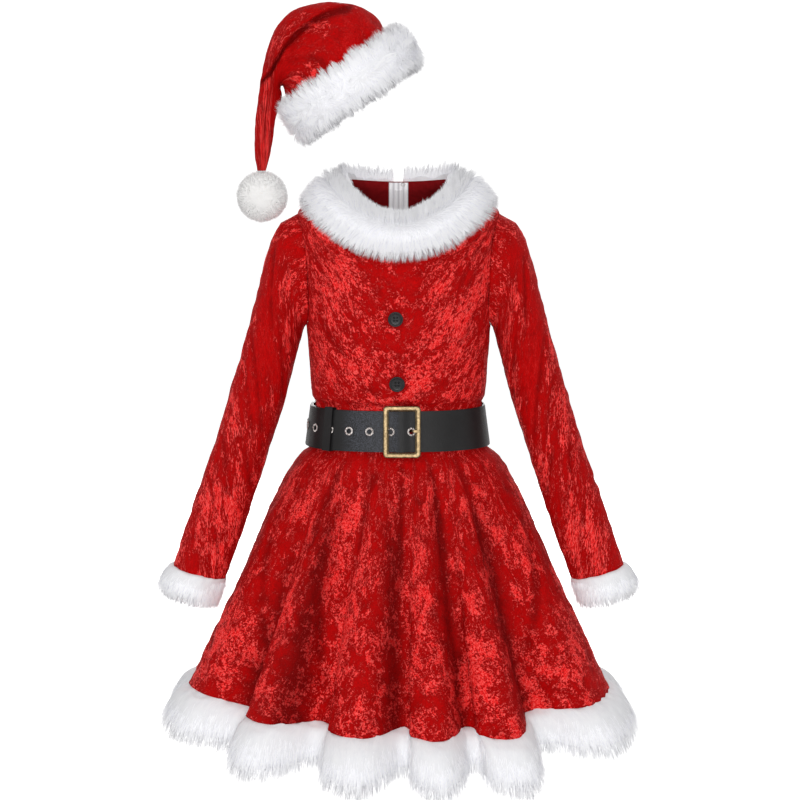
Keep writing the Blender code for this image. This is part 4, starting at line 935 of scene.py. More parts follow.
def fur_material(name, root, tip, shade, glow):
    """White pile: a cooler, darker root as painted shade low in the pile, a lighter tip and a change
    from strand to strand.
    """
    material, tree, shader = tree_of(name)
    strand = node(tree, "ShaderNodeUVMap", uv_map="strand")
    split = node(tree, "ShaderNodeSeparateXYZ")
    tree.links.new(strand.outputs[0], split.inputs[0])
    along = ramp(tree, split.outputs[1], ((0.0, root), (0.75, tip)))
    own = ramp(tree, split.outputs[0], ((0.0, shade), (0.55, grey(1.0)), (1.0, grey(1.0))))
    color = mixed(tree, 1.0, along, own, "MULTIPLY")
    # Painted glow: the emission stands in for the light that passes on from hair to hair
    finish_shader(tree, shader, color, 0.80, None,
                  {"Specular IOR Level": 0.10, "Emission Color": (0.97, 0.97, 1.0, 1.0),
                   "Emission Strength": glow})
    return material


def fur_core_material(name, low, high):
    """The dense pile under the strands: soft streaks that run the way the fur lies."""
    material, tree, shader = tree_of(name)
    lie = node(tree, "ShaderNodeUVMap", uv_map="strand").outputs[0]
    streaks = noise(tree, scaled(tree, lie, (1.0, 0.12, 1.0)), 1300.0, 3.0, 0.6, 0.3)
    tufts = noise(tree, scaled(tree, lie, (1.0, 0.35, 1.0)), 130.0, 3.0, 0.6, 0.5)
    both = weighted(tree, ((streaks.outputs[0], 0.0, 0.5), (tufts.outputs[0], 0.0, 0.5)))
    finish_shader(tree, shader, ramp(tree, both, ((0.34, low), (0.62, high))), 0.9,
                  (both, 0.45, 0.0010), {"Specular IOR Level": 0.05})
    return material


VELVET_BODICE = velvet_material("velvet_bodice", 1.0)
VELVET_SKIRT = velvet_material("velvet_skirt", 0.55)
VELVET_SLEEVE = velvet_material("velvet_sleeve", 0.72, turn=0.25)
VELVET_HAT = velvet_material("velvet_hat", 0.50, turn=-0.30)
LINING = lining_material()
FUR = fur_material("fur_white", (0.87, 0.87, 0.90), (0.93, 0.93, 0.94), (0.93, 0.93, 0.95), 0.12)
FUR_CORE = fur_core_material("fur_white_dense", (0.80, 0.80, 0.83), (0.89, 0.89, 0.905))
FUR_CREAM = fur_material("fur_off_white", (0.93, 0.92, 0.91), (0.97, 0.96, 0.945),
                         (0.95, 0.95, 0.94), 0.13)
FUR_CREAM_CORE = fur_core_material("fur_off_white_dense", (0.92, 0.91, 0.90), (0.96, 0.95, 0.94))


# Velvet pieces

def bodice_grid(first, last, columns, bite_first, bite_last):
    armhole = 1 + (1 - np.cos(np.linspace(0, math.pi, 45))) / 2
    levels = np.concatenate((np.linspace(0, 1, 23)[:-1], armhole, np.linspace(2, 3, 27)[1:]))
    levels = levels[:len(levels) - (len(levels) + 1) % 2]
    levels[-1] = 3.0
    share = np.linspace(0, 1, columns)[None, :]
    start = first + armhole_bite(levels, bite_first)[:, None]
    end = last - armhole_bite(levels, bite_last)[:, None]
    points = body_point(start + (end - start) * share, levels[:, None])
    # At the sides and back the cloth stands up inside the collar fur, past the neck edge
    back = (1 - np.cos(first + (last - first) * share)) / 2
    stand = UP * (NECK_STAND * ease((back - 0.38) / 0.17))[..., None]
    rows = [points[:1] + stand * part for part in (1.0, 0.75, 0.5, 0.25)]
    return np.concatenate(rows + [points])


def seam_pucker(points, strength):
    """A stitched seam draws the cloth in beside each side edge, unevenly."""
    lengths, down = cloth_lengths(points)
    left = np.abs(lengths - lengths[:, :1])
    right = np.abs(lengths - lengths[:, -1:])
    ripple = 0.6 + 0.4 * np.sin(down * 2 * math.pi / 0.011 + 3 * np.sin(down * 60))
    return strength * ripple * (np.exp(-(left / 0.0035) ** 2) + np.exp(-(right / 0.0035) ** 2))


def mirrored(rows):
    """The same creases or patches on the other side: the values round the cloth change sign."""
    columns = CREASE_COLUMNS if len(rows[0]) == len(CREASE_COLUMNS) else PATCH_COLUMNS
    signs = [-1 if name.startswith("round") else 1 for name in columns]
    return [tuple(sign * value for sign, value in zip(signs, row)) for row in rows]


def make_bodice():
    half = math.pi / 2
    panels = (
        ("bodice_front_cloth", "bodice_front", -half, half, BODICE_FRONT_STEPS,
         ARMHOLE_BITE_FRONT, ARMHOLE_BITE_FRONT, (0.330, 0.275), 0.0796),
        ("bodice_back_right_cloth", "bodice_back_right_side", half, math.pi, BODICE_BACK_STEPS,
         ARMHOLE_BITE_BACK, 0.0, (0.165, 0.290), 0.0396),
        ("bodice_back_left_cloth", "bodice_back_left_side", -math.pi, -half, BODICE_BACK_STEPS,
         0.0, ARMHOLE_BITE_BACK, (0.165, 0.290), 0.0396),
    )
    for index, (name, cad, first, last, columns, bite_a, bite_b, flat, area) in enumerate(panels):
        plain = bodice_grid(first, last, columns, bite_a, bite_b)
        plain = plain - grid_normals(plain, False) * seam_pucker(plain, 0.0004)[..., None]
        shares = ease(cloth_lengths(plain)[1] / 0.02)
        creases = BODICE_CREASES if cad == "bodice_front" else BACK_CREASES
        patches = BODICE_PATCHES if cad == "bodice_front" else BACK_PATCHES
        if cad == "bodice_back_left_side":
            creases = mirrored(creases)
            patches = mirrored(patches)
        obj = cloth_piece(name, plain, creases, 0.00045, SEED + index, VELVET_BODICE, shares,
                          patches, 0.012)
        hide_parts(cad)


def make_sleeves():
    rows = np.concatenate((np.linspace(0, 1, 6)[:-1], np.linspace(1, len(SLEEVE_RINGS), 136)))
    # The columns start at the inside of the arm, so that seam of the cloth lies there
    s = 2 * math.pi * np.arange(SLEEVE_STEPS) / SLEEVE_STEPS + math.pi
    plain = sleeve_point(np.mod(s, 2 * math.pi)[None, :] * np.ones((len(rows), 1)),
                         rows[:, None] * np.ones((1, len(s))))
    normals = grid_normals(plain, True)
    lengths = cloth_lengths(plain)
    shares = ease(lengths[1] / 0.025)
    for side, sign in (("left", 1.0), ("right", -1.0)):
        creases = SLEEVE_CREASES
        patches = SLEEVE_PATCHES
        if side == "right":
            creases = [(a * 0.92 + 0.008, b + 0.011 * math.sin(9 * a + 40 * b), c * 0.95 + 0.004,
                        d + 0.009 * math.sin(7 * c + 31 * d), w, h)
                       for a, b, c, d, w, h in creases]
            patches = [(a * 0.95, b + 0.008 * math.sin(50 * b), w, h, m)
                       for a, b, w, h, m in patches]
        made, offset = creased(plain, normals, lengths, creases, 0.00055, SEED + 11 + int(sign),
                               shares)
        inner = inner_skin(made, normals, sagging(plain, made, normals))
        marks = cloth_marks(lengths, offset, patches, 0.0)
        uv = np.stack(lengths, axis=-1)
        if side == "right":
            made = np.roll((made * (-1, 1, 1))[:, ::-1], 1, axis=1)
            inner = np.roll((inner * (-1, 1, 1))[:, ::-1], 1, axis=1)
            uv = np.roll(uv[:, ::-1], 1, axis=1) + 0.37
            marks = {key: np.roll(value[:, ::-1], 1, axis=1) for key, value in marks.items()}
        obj = shell(f"sleeve_{side}_cloth", made, inner, (VELVET_SLEEVE, LINING), True, uv, marks)
        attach(obj, "garment")
        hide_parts(f"sleeve_{side}_side")


def make_skirt():
    lengths = np.concatenate((np.linspace(0, 0.12, 11)[:-1], np.linspace(0.12, 1.0, 81)))
    panels = (("skirt_front_cloth", "skirt_front", -90, 90, 0.203),
              ("skirt_back_cloth", "skirt_back", 90, 270, 0.189))
    for name, cad, first, last, area in panels:
        angles = np.radians(np.linspace(first, last, SKIRT_STEPS))
        plain = skirt_point(angles[None, :], lengths[:, None])
        # The hem's turned edge stands a little proud of the cloth above it
        normals = grid_normals(plain, False)
        edge = ease((lengths - 0.972) / 0.028)[:, None] * 0.0009
        plain = plain + normals * (edge - seam_pucker(plain, 0.0006))[..., None]
        shares = ease((cloth_lengths(plain)[1] - 0.012) / 0.03)
        # Painted shade down the folds' valleys
        valley_shade = np.zeros(plain.shape[:2])
        for angle, wide, start, amount in FOLD_SHADOWS:
            apart = (np.degrees(angles)[None, :] - angle) / wide
            grown = ease((lengths[:, None] - start) / 0.35)
            valley_shade = np.maximum(valley_shade, amount * np.exp(-apart ** 2) * grown)
        creases = SKIRT_CREASES
        patches = SKIRT_PATCHES
        if cad == "skirt_back":
            creases = [(-a * 1.04, b + 0.006, -c * 0.97, d, w * 1.05, h)
                       for a, b, c, d, w, h in creases]
            patches = mirrored(patches)
        obj = cloth_piece(name, plain, creases, 0.0007, SEED + 130 + first, VELVET_SKIRT, shares,
                          patches, 0.012, valley_shade, straight=60)
        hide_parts(cad)


def make_hat():
    rings = np.linspace(0, len(HAT_RINGS) - 1, 191)
    for name, cad, first, last, area in (
            ("hat_front_cloth", "hat_front", 0.0, math.pi, 0.0292),
            ("hat_back_cloth", "hat_back", math.pi, 2 * math.pi, 0.0283)):
        s = np.linspace(first, last, HAT_STEPS)
        ones = np.ones((len(rings), len(s)))
        plain = hat_point(s[None, :] * ones, rings[:, None] * ones)
        inside, apart = flap_state(s[None, :] * ones, rings[:, None] * ones)
        shadow = 1.6 * inside * np.exp(-((apart + 1.1) / 0.9) ** 2) * (cad == "hat_front")
        plain = plain + (0.0, -0.00015 if cad == "hat_front" else 0.00015, 0.0)
        shares = ease((len(HAT_RINGS) - 1 - rings[:, None]) / 1.5) * np.ones(plain.shape[:2])
        obj = cloth_piece(name, plain, HAT_CREASES, 0.0005, SEED + 50 + len(cad), VELVET_HAT,
                          shares, HAT_PATCHES, -0.055, shadow)
        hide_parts(cad)


# Fur

def section_curve(sections, count):
    """Smooth closed sections through the named profile points, as a grid of points."""
    sides = sections.shape[1]
    t = np.arange(count) * sides / count
    i = np.floor(t).astype(int)
    u = (t - i)[None, :, None]
    p0, p1, p2, p3 = (sections[:, (i + k) % sides] for k in (-1, 0, 1, 2))
    return 0.5 * (2 * p1 + (p2 - p0) * u + (2 * p0 - 5 * p1 + 4 * p2 - p3) * u ** 2
                  + (3 * p1 - p0 - 3 * p2 + p3) * u ** 3)


def grid_lookup(grid, a, b, closed_a):
    """Points of a grid at fractional row a and column b; columns close on themselves."""
    rows, cols = grid.shape[:2]
    a0 = np.floor(a).astype(int)
    b0 = np.floor(b).astype(int)
    fa = (a - a0)[:, None]
    fb = (b - b0)[:, None]
    a1 = a0 + 1
    if closed_a:
        a0, a1 = a0 % rows, a1 % rows
    else:
        a0, a1 = np.clip(a0, 0, rows - 1), np.clip(a1, 0, rows - 1)
    b0, b1 = b0 % cols, (b0 + 1) % cols
    top = grid[a0, b0] * (1 - fb) + grid[a0, b1] * fb
    low = grid[a1, b0] * (1 - fb) + grid[a1, b1] * fb
    return top * (1 - fa) + low * fa


def scatter(grid, count, closed_a, rng, weight):
    """Random places on a grid, even over its area times the weight: rows a, columns b."""
    cols = grid.shape[1]
    after = np.roll(grid, -1, axis=0) if closed_a else grid[1:]
    here = grid if closed_a else grid[:-1]
    side = np.roll(here, -1, axis=1)
    area = np.linalg.norm(np.cross(after - here, side - here), axis=-1)
    area = area * weight[:area.shape[0]]
    chance = area.ravel() / area.sum()
    picked = rng.choice(len(chance), size=count, p=chance)
    a = picked // cols + rng.random(count)
    b = picked % cols + rng.random(count)
    return a, b


def strands(name, roots, normals, ways, lengths, widths, segments, rng, droop, material,
            tuft, lift):
    """Ribbon strands: each starts along its own way off the skin and bends to hang.

    ways are the directions that the pile lies in, droop is how far it falls under its
    weight, and tuft gives, for each strand, the point its tip leans to and by how much.
    """
    count = len(roots)
    normals = unit(normals)
    first = unit(ways + normals * lift + rng.normal(scale=STRAND_STRAY, size=(count, 3)))
    points = [roots]
    way = first
    step = (lengths / segments)[:, None]
    for k in range(segments):
        points.append(points[-1] + way * step)
        way = unit(way - UP * droop * (k + 1) / segments - normals * 0.05)
    points = np.stack(points, axis=1)
    target, share = tuft
    bend = (np.arange(segments + 1) / segments) ** 1.5
    bend = (bend[None, :] * share[:, None])[..., None]
    points = points + (target - points[:, -1])[:, None, :] * bend
    side = unit(np.cross(first, normals))
    roll = rng.uniform(-0.6, 0.6, count)[:, None]
    side = unit(side * np.cos(roll) + normals * np.sin(roll))
    taper = np.array([1.0, 0.92, 0.66, 0.4][:segments])
    half = (widths[:, None] / 2 * taper[None, :])[..., None] * side[:, None, :]
    left = points[:, :-1] - half
    right = points[:, :-1] + half
    per = 2 * segments + 1
    verts = np.empty((count, per, 3))
    verts[:, 0:2 * segments:2] = left
    verts[:, 1:2 * segments:2] = right
    verts[:, -1] = points[:, -1]
    loops = []
    sizes = []
    for k in range(segments - 1):
        loops += [2 * k, 2 * k + 1, 2 * k + 3, 2 * k + 2]
        sizes.append(4)
    loops += [2 * segments - 2, 2 * segments - 1, 2 * segments]
    sizes.append(3)
    base = (np.arange(count) * per)[:, None]
    corner = (base + np.array(loops)[None, :]).ravel()
    total = np.tile(np.array(sizes), count)
    starts = np.concatenate(([0], np.cumsum(total)[:-1]))
    mesh = bpy.data.meshes.new(name)
    mesh.vertices.add(count * per)
    mesh.vertices.foreach_set("co", verts.astype(np.float32).ravel())
    mesh.loops.add(len(corner))
    mesh.loops.foreach_set("vertex_index", corner.astype(np.int32))
    mesh.polygons.add(len(total))
    mesh.polygons.foreach_set("loop_start", starts.astype(np.int32))
    mesh.update(calc_edges=True)
    along = np.repeat(np.arange(segments), 2) / segments
    along = np.concatenate((along, (1.0,)))
    own = rng.random(count)
    uv = np.stack(np.broadcast_arrays(own[:, None], along[None, :]), axis=-1).reshape(-1, 2)
    add_uv(mesh, "strand", uv)
    facing = unit(np.cross(side, first))
    facing = facing * np.sign(np.sum(facing * normals, axis=-1, keepdims=True))
    soft = normals * STRAND_SOFT + facing * (1 - STRAND_SOFT)
    soft = unit(soft + rng.normal(scale=0.07, size=(count, 3)))
    mesh.shade_smooth()
    mesh.normals_split_custom_set_from_vertices(np.repeat(soft, per, axis=0).tolist())
    mesh.materials.append(material)
    return linked(name, mesh)


def core_object(name, grid, closed_a, seed):
    """The soft mass under the strands, slightly lumpy, closed at its ends if it has any."""
    rows, cols = grid.shape[:2]
    middle = grid.mean(axis=1, keepdims=True)
    bumpy = 1 + CORE_LUMP * field(grid, waves(seed, 30, 0.010, 0.04))[..., None]
    verts = (middle + (grid - middle) * bumpy).reshape(-1, 3)
    r = np.arange(rows if closed_a else rows - 1)[:, None]
    c = np.arange(cols)[None, :]
    nr = (r + 1) % rows
    nc = (c + 1) % cols
    faces = np.stack(np.broadcast_arrays(r * cols + c, nr * cols + c, nr * cols + nc, r * cols + nc),
                     axis=-1).reshape(-1, 4).tolist()
    if not closed_a:
        faces.append(list(range(cols)))
        faces.append(list(range((rows - 1) * cols, rows * cols))[::-1])
    obj = mesh_object(name, verts, faces, (FUR_CORE,))
    down = np.linalg.norm(grid - np.roll(grid, 1, axis=1), axis=-1)
    down = np.cumsum(down, axis=1)
    round_way = np.linalg.norm(grid[1:] - grid[:-1], axis=-1).mean(axis=1)
    round_way = np.concatenate(((0.0,), np.cumsum(round_way)))[:, None] * np.ones((1, cols))
    add_uv(obj.data, "strand", np.stack((round_way, down), axis=-1).reshape(-1, 2))
    mended(obj)
    return obj


def fur_piece(cad, core, pile):
    """Attaches the core and its pile to the garment and hides the CAD solid that the core stands
    for.
    """
    for obj in (core, pile):
        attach(obj, "garment")
    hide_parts(cad)


def clumped(a, b, rng, size, reach, tips_from):
    """A shared tip for neighbouring strands: the nearest of a jittered set of tufts."""
    cell_a = np.floor(a / size[0])
    cell_b = np.floor(b / size[1])
    key = (cell_a * 1009 + cell_b).astype(np.int64)
    unique, index = np.unique(key, return_inverse=True)
    jitter = rng.random((len(unique), 2))
    centre_a = (cell_a + 0.2 + 0.6 * jitter[index, 0]) * size[0]
    centre_b = (cell_b + 0.2 + 0.6 * jitter[index, 1]) * size[1]
    share = reach * (0.5 + 0.5 * rng.random(len(unique)))[index]
    return tips_from(centre_a, centre_b), share


def pile_on(name, grid, surface, closed_a, flow, length, seed, weight, count, width, droop,
            clump, gather, lift):
    """Strands over a grid. flow gives the pile's way; length its reach, at (a, b)."""
    rng = np.random.default_rng(seed)
    a, b = scatter(grid, count, closed_a, rng, weight)
    roots = grid_lookup(grid, a, b, closed_a)
    normals = grid_lookup(surface, a, b, closed_a)
    roots = roots - unit(normals) * STRAND_ROOT_DEPTH
    ways = flow(a, b, normals)
    uneven = 1 + 0.16 * field(roots, waves(seed + 3, 24, 0.012, 0.035))
    lengths = length(a, b) * rng.uniform(0.75, 1.15, count) * uneven

    def tips(ca, cb):
        root = grid_lookup(grid, ca, cb, closed_a)
        out = unit(grid_lookup(surface, ca, cb, closed_a))
        way = unit(unit(flow(ca, cb, out)) + out * lift)
        falls = unit(way - UP * droop * 0.5)
        return root + falls * length(ca, cb)[:, None]

    tuft = clumped(a, b, rng, clump, gather, tips)
    widths = width * rng.uniform(0.7, 1.25, count)
    return strands(name, roots, normals, unit(ways), lengths, widths, 3, rng, droop, FUR,
                   tuft, lift)


def ring_normals(grid, closed_a):
    """Normals of a fur core's grid that point away from its sections' middles."""
    if closed_a:
        after = np.roll(grid, -1, axis=0)
        before = np.roll(grid, 1, axis=0)
    else:
        after = np.concatenate((grid[1:], grid[-1:]))
        before = np.concatenate((grid[:1], grid[:-1]))
    side = np.roll(grid, -1, axis=1) - np.roll(grid, 1, axis=1)
    normals = unit(np.cross(side, after - before))
    middle = grid.mean(axis=1, keepdims=True)
    if np.sum(normals * (grid - middle)) < 0:
        normals = -normals
    return normals


def profile_columns(sections, count, first, last):
    """Which of the core's columns lie between two points of its named profile."""
    per = count / sections.shape[1]
    return int(first * per), int(last * per) + 1


def pile_weight(grid, sections, *spans):
    """How thick the pile grows; a span is its first and last profile point and its share."""
    weight = np.ones(grid.shape[:2])
    for first, last, share in spans:
        low, high = profile_columns(sections, grid.shape[1], first, last)
        weight[:, low:high] = share
    return weight


def hem_sections(angles):
    edge = skirt_point(angles, np.full(angles.shape, 1.0))
    above = skirt_point(angles, np.full(angles.shape, 0.94))
    down = unit(edge - above)
    outward = skirt_out(angles, np.full(angles.shape, 1.0))
    out, _, _ = fold_state(angles, np.full(angles.shape, 1.0))
    reaches = column(FOLD_COLUMNS, FOLDS, "reach")
    ridge = (out - reaches.min()) / (reaches.max() - reaches.min())
    side = HEM_SIDE_TUCK * np.sin(angles) ** 6
    longer = HEM_VALLEY_LENGTH + (1 - HEM_VALLEY_LENGTH) * ridge - side
    sections = []
    for along, off in HEM_PROFILE:
        reach = off * (HEM_CORE if off > 0.01 else 0.9) * (1 - side * (off > 0.01))
        along = along * (1 if along < 0.002 else HEM_CORE)
        sections.append(edge + down * (along * longer)[:, None] + outward * reach[:, None])
    return np.stack(sections, axis=1), down, ridge


def make_hem_fur():
    for name, cad, first, last in (("hem_fur_front_pile", "hem_fur_front", -90, 90),
                                   ("hem_fur_back_pile", "hem_fur_back", 90, 270)):
        angles = np.radians(np.linspace(first, last, HEM_STEPS))
        sections, down, ridge = hem_sections(angles)
        grid = section_curve(sections, HEM_SIDES)
        surface = ring_normals(grid, False)
        core = core_object(cad + "_core", grid, False, SEED + 70)

        def flow(a, b, normals, down=down):
            i = np.clip(a.astype(int), 0, len(down) - 1)
            return down[i]

        def length(a, b, ridge=ridge):
            i = np.clip(a.astype(int), 0, len(ridge) - 1)
            return 0.0165 + 0.0065 * ridge[i]

        weight = pile_weight(grid, sections, (0.3, 1.8, 2.6), (6.0, 7.9, 0.6))
        pile = pile_on(name, grid, surface, False, flow, length, SEED + 80 + first, weight,
                       **HEM_PILE)
        fur_piece(cad, core, pile)


def make_cuff_fur():
    s = 2 * math.pi * np.arange(CUFF_STEPS) / CUFF_STEPS
    edge = sleeve_point(s, np.full(s.shape, float(len(SLEEVE_RINGS))))
    before = sleeve_point(s, np.full(s.shape, float(len(SLEEVE_RINGS) - 1)))
    centre = edge.mean(axis=0)
    down = unit(centre - before.mean(axis=0))
    out = edge - centre
    out = unit(out - down * (out @ down)[:, None])
    flat = 1 - CUFF_PRESS * ease(out[:, 0] / CUFF_PRESS_SIDE)
    sections = []
    for along, off in CUFF_PROFILE:
        along = along * (1.0 if along < 0.002 else CUFF_CORE)
        reach = off * CUFF_CORE * flat if off > 0 else np.full(len(s), off * 0.9)
        sections.append(edge + down * along + out * reach[:, None])
    sections = np.stack(sections, axis=1)
    for side, flip in (("left", (1, 1, 1)), ("right", (-1, 1, 1))):
        grid = section_curve(sections * flip, CUFF_SIDES)
        surface = ring_normals(grid, True)
        way = down * flip
        core = core_object(f"cuff_fur_{side}_core", grid, True, SEED + 90)

        def flow(a, b, normals, way=way):
            return way[None, :] + unit(normals) * 0.15

        def length(a, b):
            return np.full(len(a), 0.0115)

        weight = pile_weight(grid, sections, (0.3, 1.8, 2.4))
        pile = pile_on(f"cuff_fur_{side}_pile", grid, surface, True, flow, length,
                       SEED + 95 + len(side), weight, **CUFF_PILE)
        fur_piece(f"cuff_fur_{side}_side", core, pile)


def collar_sections(angles):
    """The collar's core: inside the source's form where strands will stand past it."""
    sections = []
    for level in reversed(COLLAR_LEVELS):
        levels = np.full(angles.shape, level * COLLAR_CORE_EDGE)
        normal = surface_normal(body_point, angles, levels)
        sections.append(body_point(angles, levels) + normal * COLLAR_CLEARANCE)
    zero = np.zeros(angles.shape)
    neck = body_point(angles, zero)
    normal = surface_normal(body_point, angles, zero)
    back = (1 - np.cos(angles)) / 2
    behind = ease((back - 0.2) / 0.35)
    up = unit(neck - body_point(angles, zero + 0.08))
    up = unit(up * (1 - behind)[:, None] + UP * behind[:, None])
    rim = COLLAR_RIM_FRONT * (1 - behind) + (NECK_STAND + 0.0015) * behind
    lower = 1 - COLLAR_BACK_LOWER * ease((back - 0.45) / 0.5)
    sections.append(neck + up * (rim * 0.7)[:, None] + normal * (0.0030 * lower)[:, None])
    sections.append(neck + up * rim[:, None] + normal * (0.0070 * lower)[:, None])
    tuck = 1 - COLLAR_SIDE_TUCK * np.sin(angles) ** 2
    for part, height in reversed(COLLAR_TOP):
        levels = COLLAR_WIDTH * part * tuck * (1.0 if part < 0.6 else COLLAR_CORE_EDGE)
        normal = surface_normal(body_point, angles, levels)
        reach = height * COLLAR_CORE * tuck * lower
        near_neck = COLLAR_NECK_LOWER * max(0.0, 1 - part / 0.45)
        reach = reach * (1 - near_neck * ease((0.60 - back) / 0.35))
        sections.append(body_point(angles, levels) + normal * reach[:, None])
    return np.stack(sections, axis=1)


def make_collar_fur():
    gap = math.radians(5.5)
    angles = np.linspace(-math.pi + gap, math.pi - gap, COLLAR_STEPS)
    sections = collar_sections(angles)
    grid = section_curve(sections, COLLAR_SIDES)
    surface = ring_normals(grid, False)
    core = core_object("collar_fur_core", grid, False, SEED + 110)
    # The pile lies away from the neck edge over the shoulders
    neck = body_point(angles, np.zeros(angles.shape))
    rim = body_point(angles, np.full(angles.shape, COLLAR_WIDTH))
    away = unit(rim - neck)
    rim_low, rim_high = profile_columns(sections, COLLAR_SIDES, 4.0, 6.0)
    rim_end = profile_columns(sections, COLLAR_SIDES, 4.0, 8.4)[1]
    back = (1 - np.cos(angles)) / 2

    def flow(a, b, normals):
        i = np.clip(a.astype(int), 0, len(angles) - 1)
        on_rim = ease((b - rim_low + 1) / 2) * ease((rim_end - b) / (rim_end - rim_high))
        behind = ease((back[i] - 0.3) / 0.3)[:, None]
        rising = (UP - away[i] * 0.30) * (1 - behind) + (UP + away[i] * 0.30) * behind
        return away[i] * (1 - on_rim)[:, None] + rising * on_rim[:, None]

    def length(a, b):
        i = np.clip(a.astype(int), 0, len(angles) - 1)
        on_rim = (b > rim_low) & (b < rim_high)
        return np.where(on_rim, 0.0070 + 0.0005 * ease((back[i] - 0.4) / 0.3), 0.0135)

    weight = pile_weight(grid, sections, (0.25, 3.6, 0.0), (4.0, 6.0, 2.2))
    pile = pile_on("collar_fur_pile", grid, surface, False, flow, length, SEED + 115, weight,
                   **COLLAR_PILE)
    fur_piece("collar_fur", core, pile)

    def back_length(a, b):
        i = np.clip(a.astype(int), 0, len(angles) - 1)
        return 0.0150 + 0.0040 * np.sin(i * 1.7) * np.sin(i * 0.23)

    # Longer tufts stand up round the back of the neck
    weight[:] = 0.0
    weight[:, rim_low:rim_high] = ease((back - 0.42) / 0.2)[:, None]
    tufts = pile_on("collar_fur_back_tufts", grid, surface, False, flow, back_length,
                    SEED + 118, weight, **COLLAR_TUFTS)
    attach(tufts, "garment")


def make_hat_band():
    near_x, near_z, far_x, far_z, depth = HAT_RINGS[1]
    near = np.array((near_x, 0, near_z))
    far = np.array((far_x, 0, far_z))
    centre = (near + far) / 2
    half = np.linalg.norm(far - centre)
    long_way = unit(far - centre)
    axis = np.array((-long_way[2], 0, long_way[0]))
    s = 2 * math.pi * np.arange(BAND_STEPS) / BAND_STEPS
    cos, sin = np.cos(s)[:, None], np.sin(s)[:, None]
    across = np.array((0.0, 1.0, 0.0))
    point = centre + long_way * half * cos - across * depth * sin
    out = unit(long_way * cos / half - across * sin / depth)
    slim = 1 - HAT_BAND_SLIM * np.maximum(0.0, -np.cos(s)) ** 4
    sections = []
    for off, along in HAT_BAND_PROFILE:
        reach = off * slim * BAND_CORE if off > 0.002 else np.full(len(s), off * 0.8)
        sections.append(point + out * (reach + 0.0006)[:, None] + axis * along * BAND_CORE_TALL)
    sections = np.stack(sections, axis=1)
    grid = section_curve(sections, BAND_SIDES)
    surface = ring_normals(grid, True)
    core = core_object("hat_fur_band_core", grid, True, SEED + 130)
    middle = grid.mean(axis=1)
    round_way = unit(np.roll(middle, -1, axis=0) - np.roll(middle, 1, axis=0))

    def flow(a, b, normals):
        i = a.astype(int) % len(middle)
        height = (grid_lookup(grid, a, b, True) - middle[i]) @ axis
        height = np.clip(height / 0.013, -1, 1)[:, None]
        # The pile swirls in the middle, and lies out over both edges
        turn = (2.3 * np.sin(a * 0.21 + 1.7 * np.sin(b * 0.5)) + 1.2 * np.sin(b * 0.7 - a * 0.13))
        swirl = axis[None, :] * np.sin(turn)[:, None] + round_way[i] * np.cos(turn)[:, None]
        edge = np.abs(height) ** 2
        return unit(normals) * 0.35 + axis * np.sign(height) * edge * 1.1 + swirl * (1 - edge)

    def length(a, b):
        i = a.astype(int) % len(middle)
        height = (grid_lookup(grid, a, b, True) - middle[i]) @ axis
        tuft = ease(np.abs(height) / 0.012) * (0.5 + 0.5 * np.sin(a * 0.9 + 2.0 * np.sin(a * 0.31)))
        return 0.0095 + 0.0050 * tuft

    weight = pile_weight(grid, sections, (6.2, 8.8, 0.0))
    pile = pile_on("hat_fur_band_pile", grid, surface, True, flow, length, SEED + 135, weight,
                   **BAND_PILE)
    fur_piece("hat_fur_band", core, pile)


def make_pompom():
    rng = np.random.default_rng(SEED + 150)
    centre = np.array(POMPOM_CENTRE)
    bm = bmesh.new()
    bmesh.ops.create_icosphere(bm, subdivisions=4, radius=POMPOM_RADIUS * POMPOM_CORE)
    kit = waves(SEED + 151, 24, 0.010, 0.024)
    for vert in bm.verts:
        vert.co = vert.co * float(1 + 0.04 * field(np.array(vert.co), kit))
    bmesh.ops.translate(bm, vec=POMPOM_CENTRE, verts=bm.verts)
    mesh = bpy.data.meshes.new("hat_pompom_core")
    bm.to_mesh(mesh)
    bm.free()
    mesh.shade_smooth()
    mesh.materials.append(FUR_CREAM_CORE)
    places = np.empty(len(mesh.vertices) * 3)
    mesh.vertices.foreach_get("co", places)
    add_uv(mesh, "strand", places.reshape(-1, 3)[:, (0, 2)])
    core = linked("hat_pompom_core", mesh)
    count = POMPOM_STRANDS
    ways = unit(rng.normal(size=(count, 3)))
    roots = centre + ways * POMPOM_RADIUS * POMPOM_CORE * 0.97
    lengths = POMPOM_RADIUS * rng.uniform(0.18, 0.32, count)
    widths = 0.0006 * rng.uniform(0.7, 1.3, count)
    centres = unit(rng.normal(size=(POMPOM_TUFTS, 3)))
    nearest = np.argmax(ways @ centres.T, axis=1)
    heights = POMPOM_RADIUS * rng.uniform(0.98, 1.08, len(centres))
    target = centre + centres[nearest] * heights[nearest][:, None]
    share = np.full(count, 0.30)
    sideways = unit(np.cross(ways, rng.normal(size=(count, 3)))) * 0.85
    pile = strands("hat_pompom_pile", roots, ways, unit(ways + sideways), lengths, widths, 2, rng,
                   0.04, FUR_CREAM, (target, share), 0.0)
    fur_piece("hat_pompom", core, pile)


# Hard pieces

# Painted highlight: where it starts and ends along the strap, in metres along x
LEATHER_HIGHLIGHT_LEFT = (-0.072, -0.048)
LEATHER_HIGHLIGHT_RIGHT = (-0.004, 0.003)


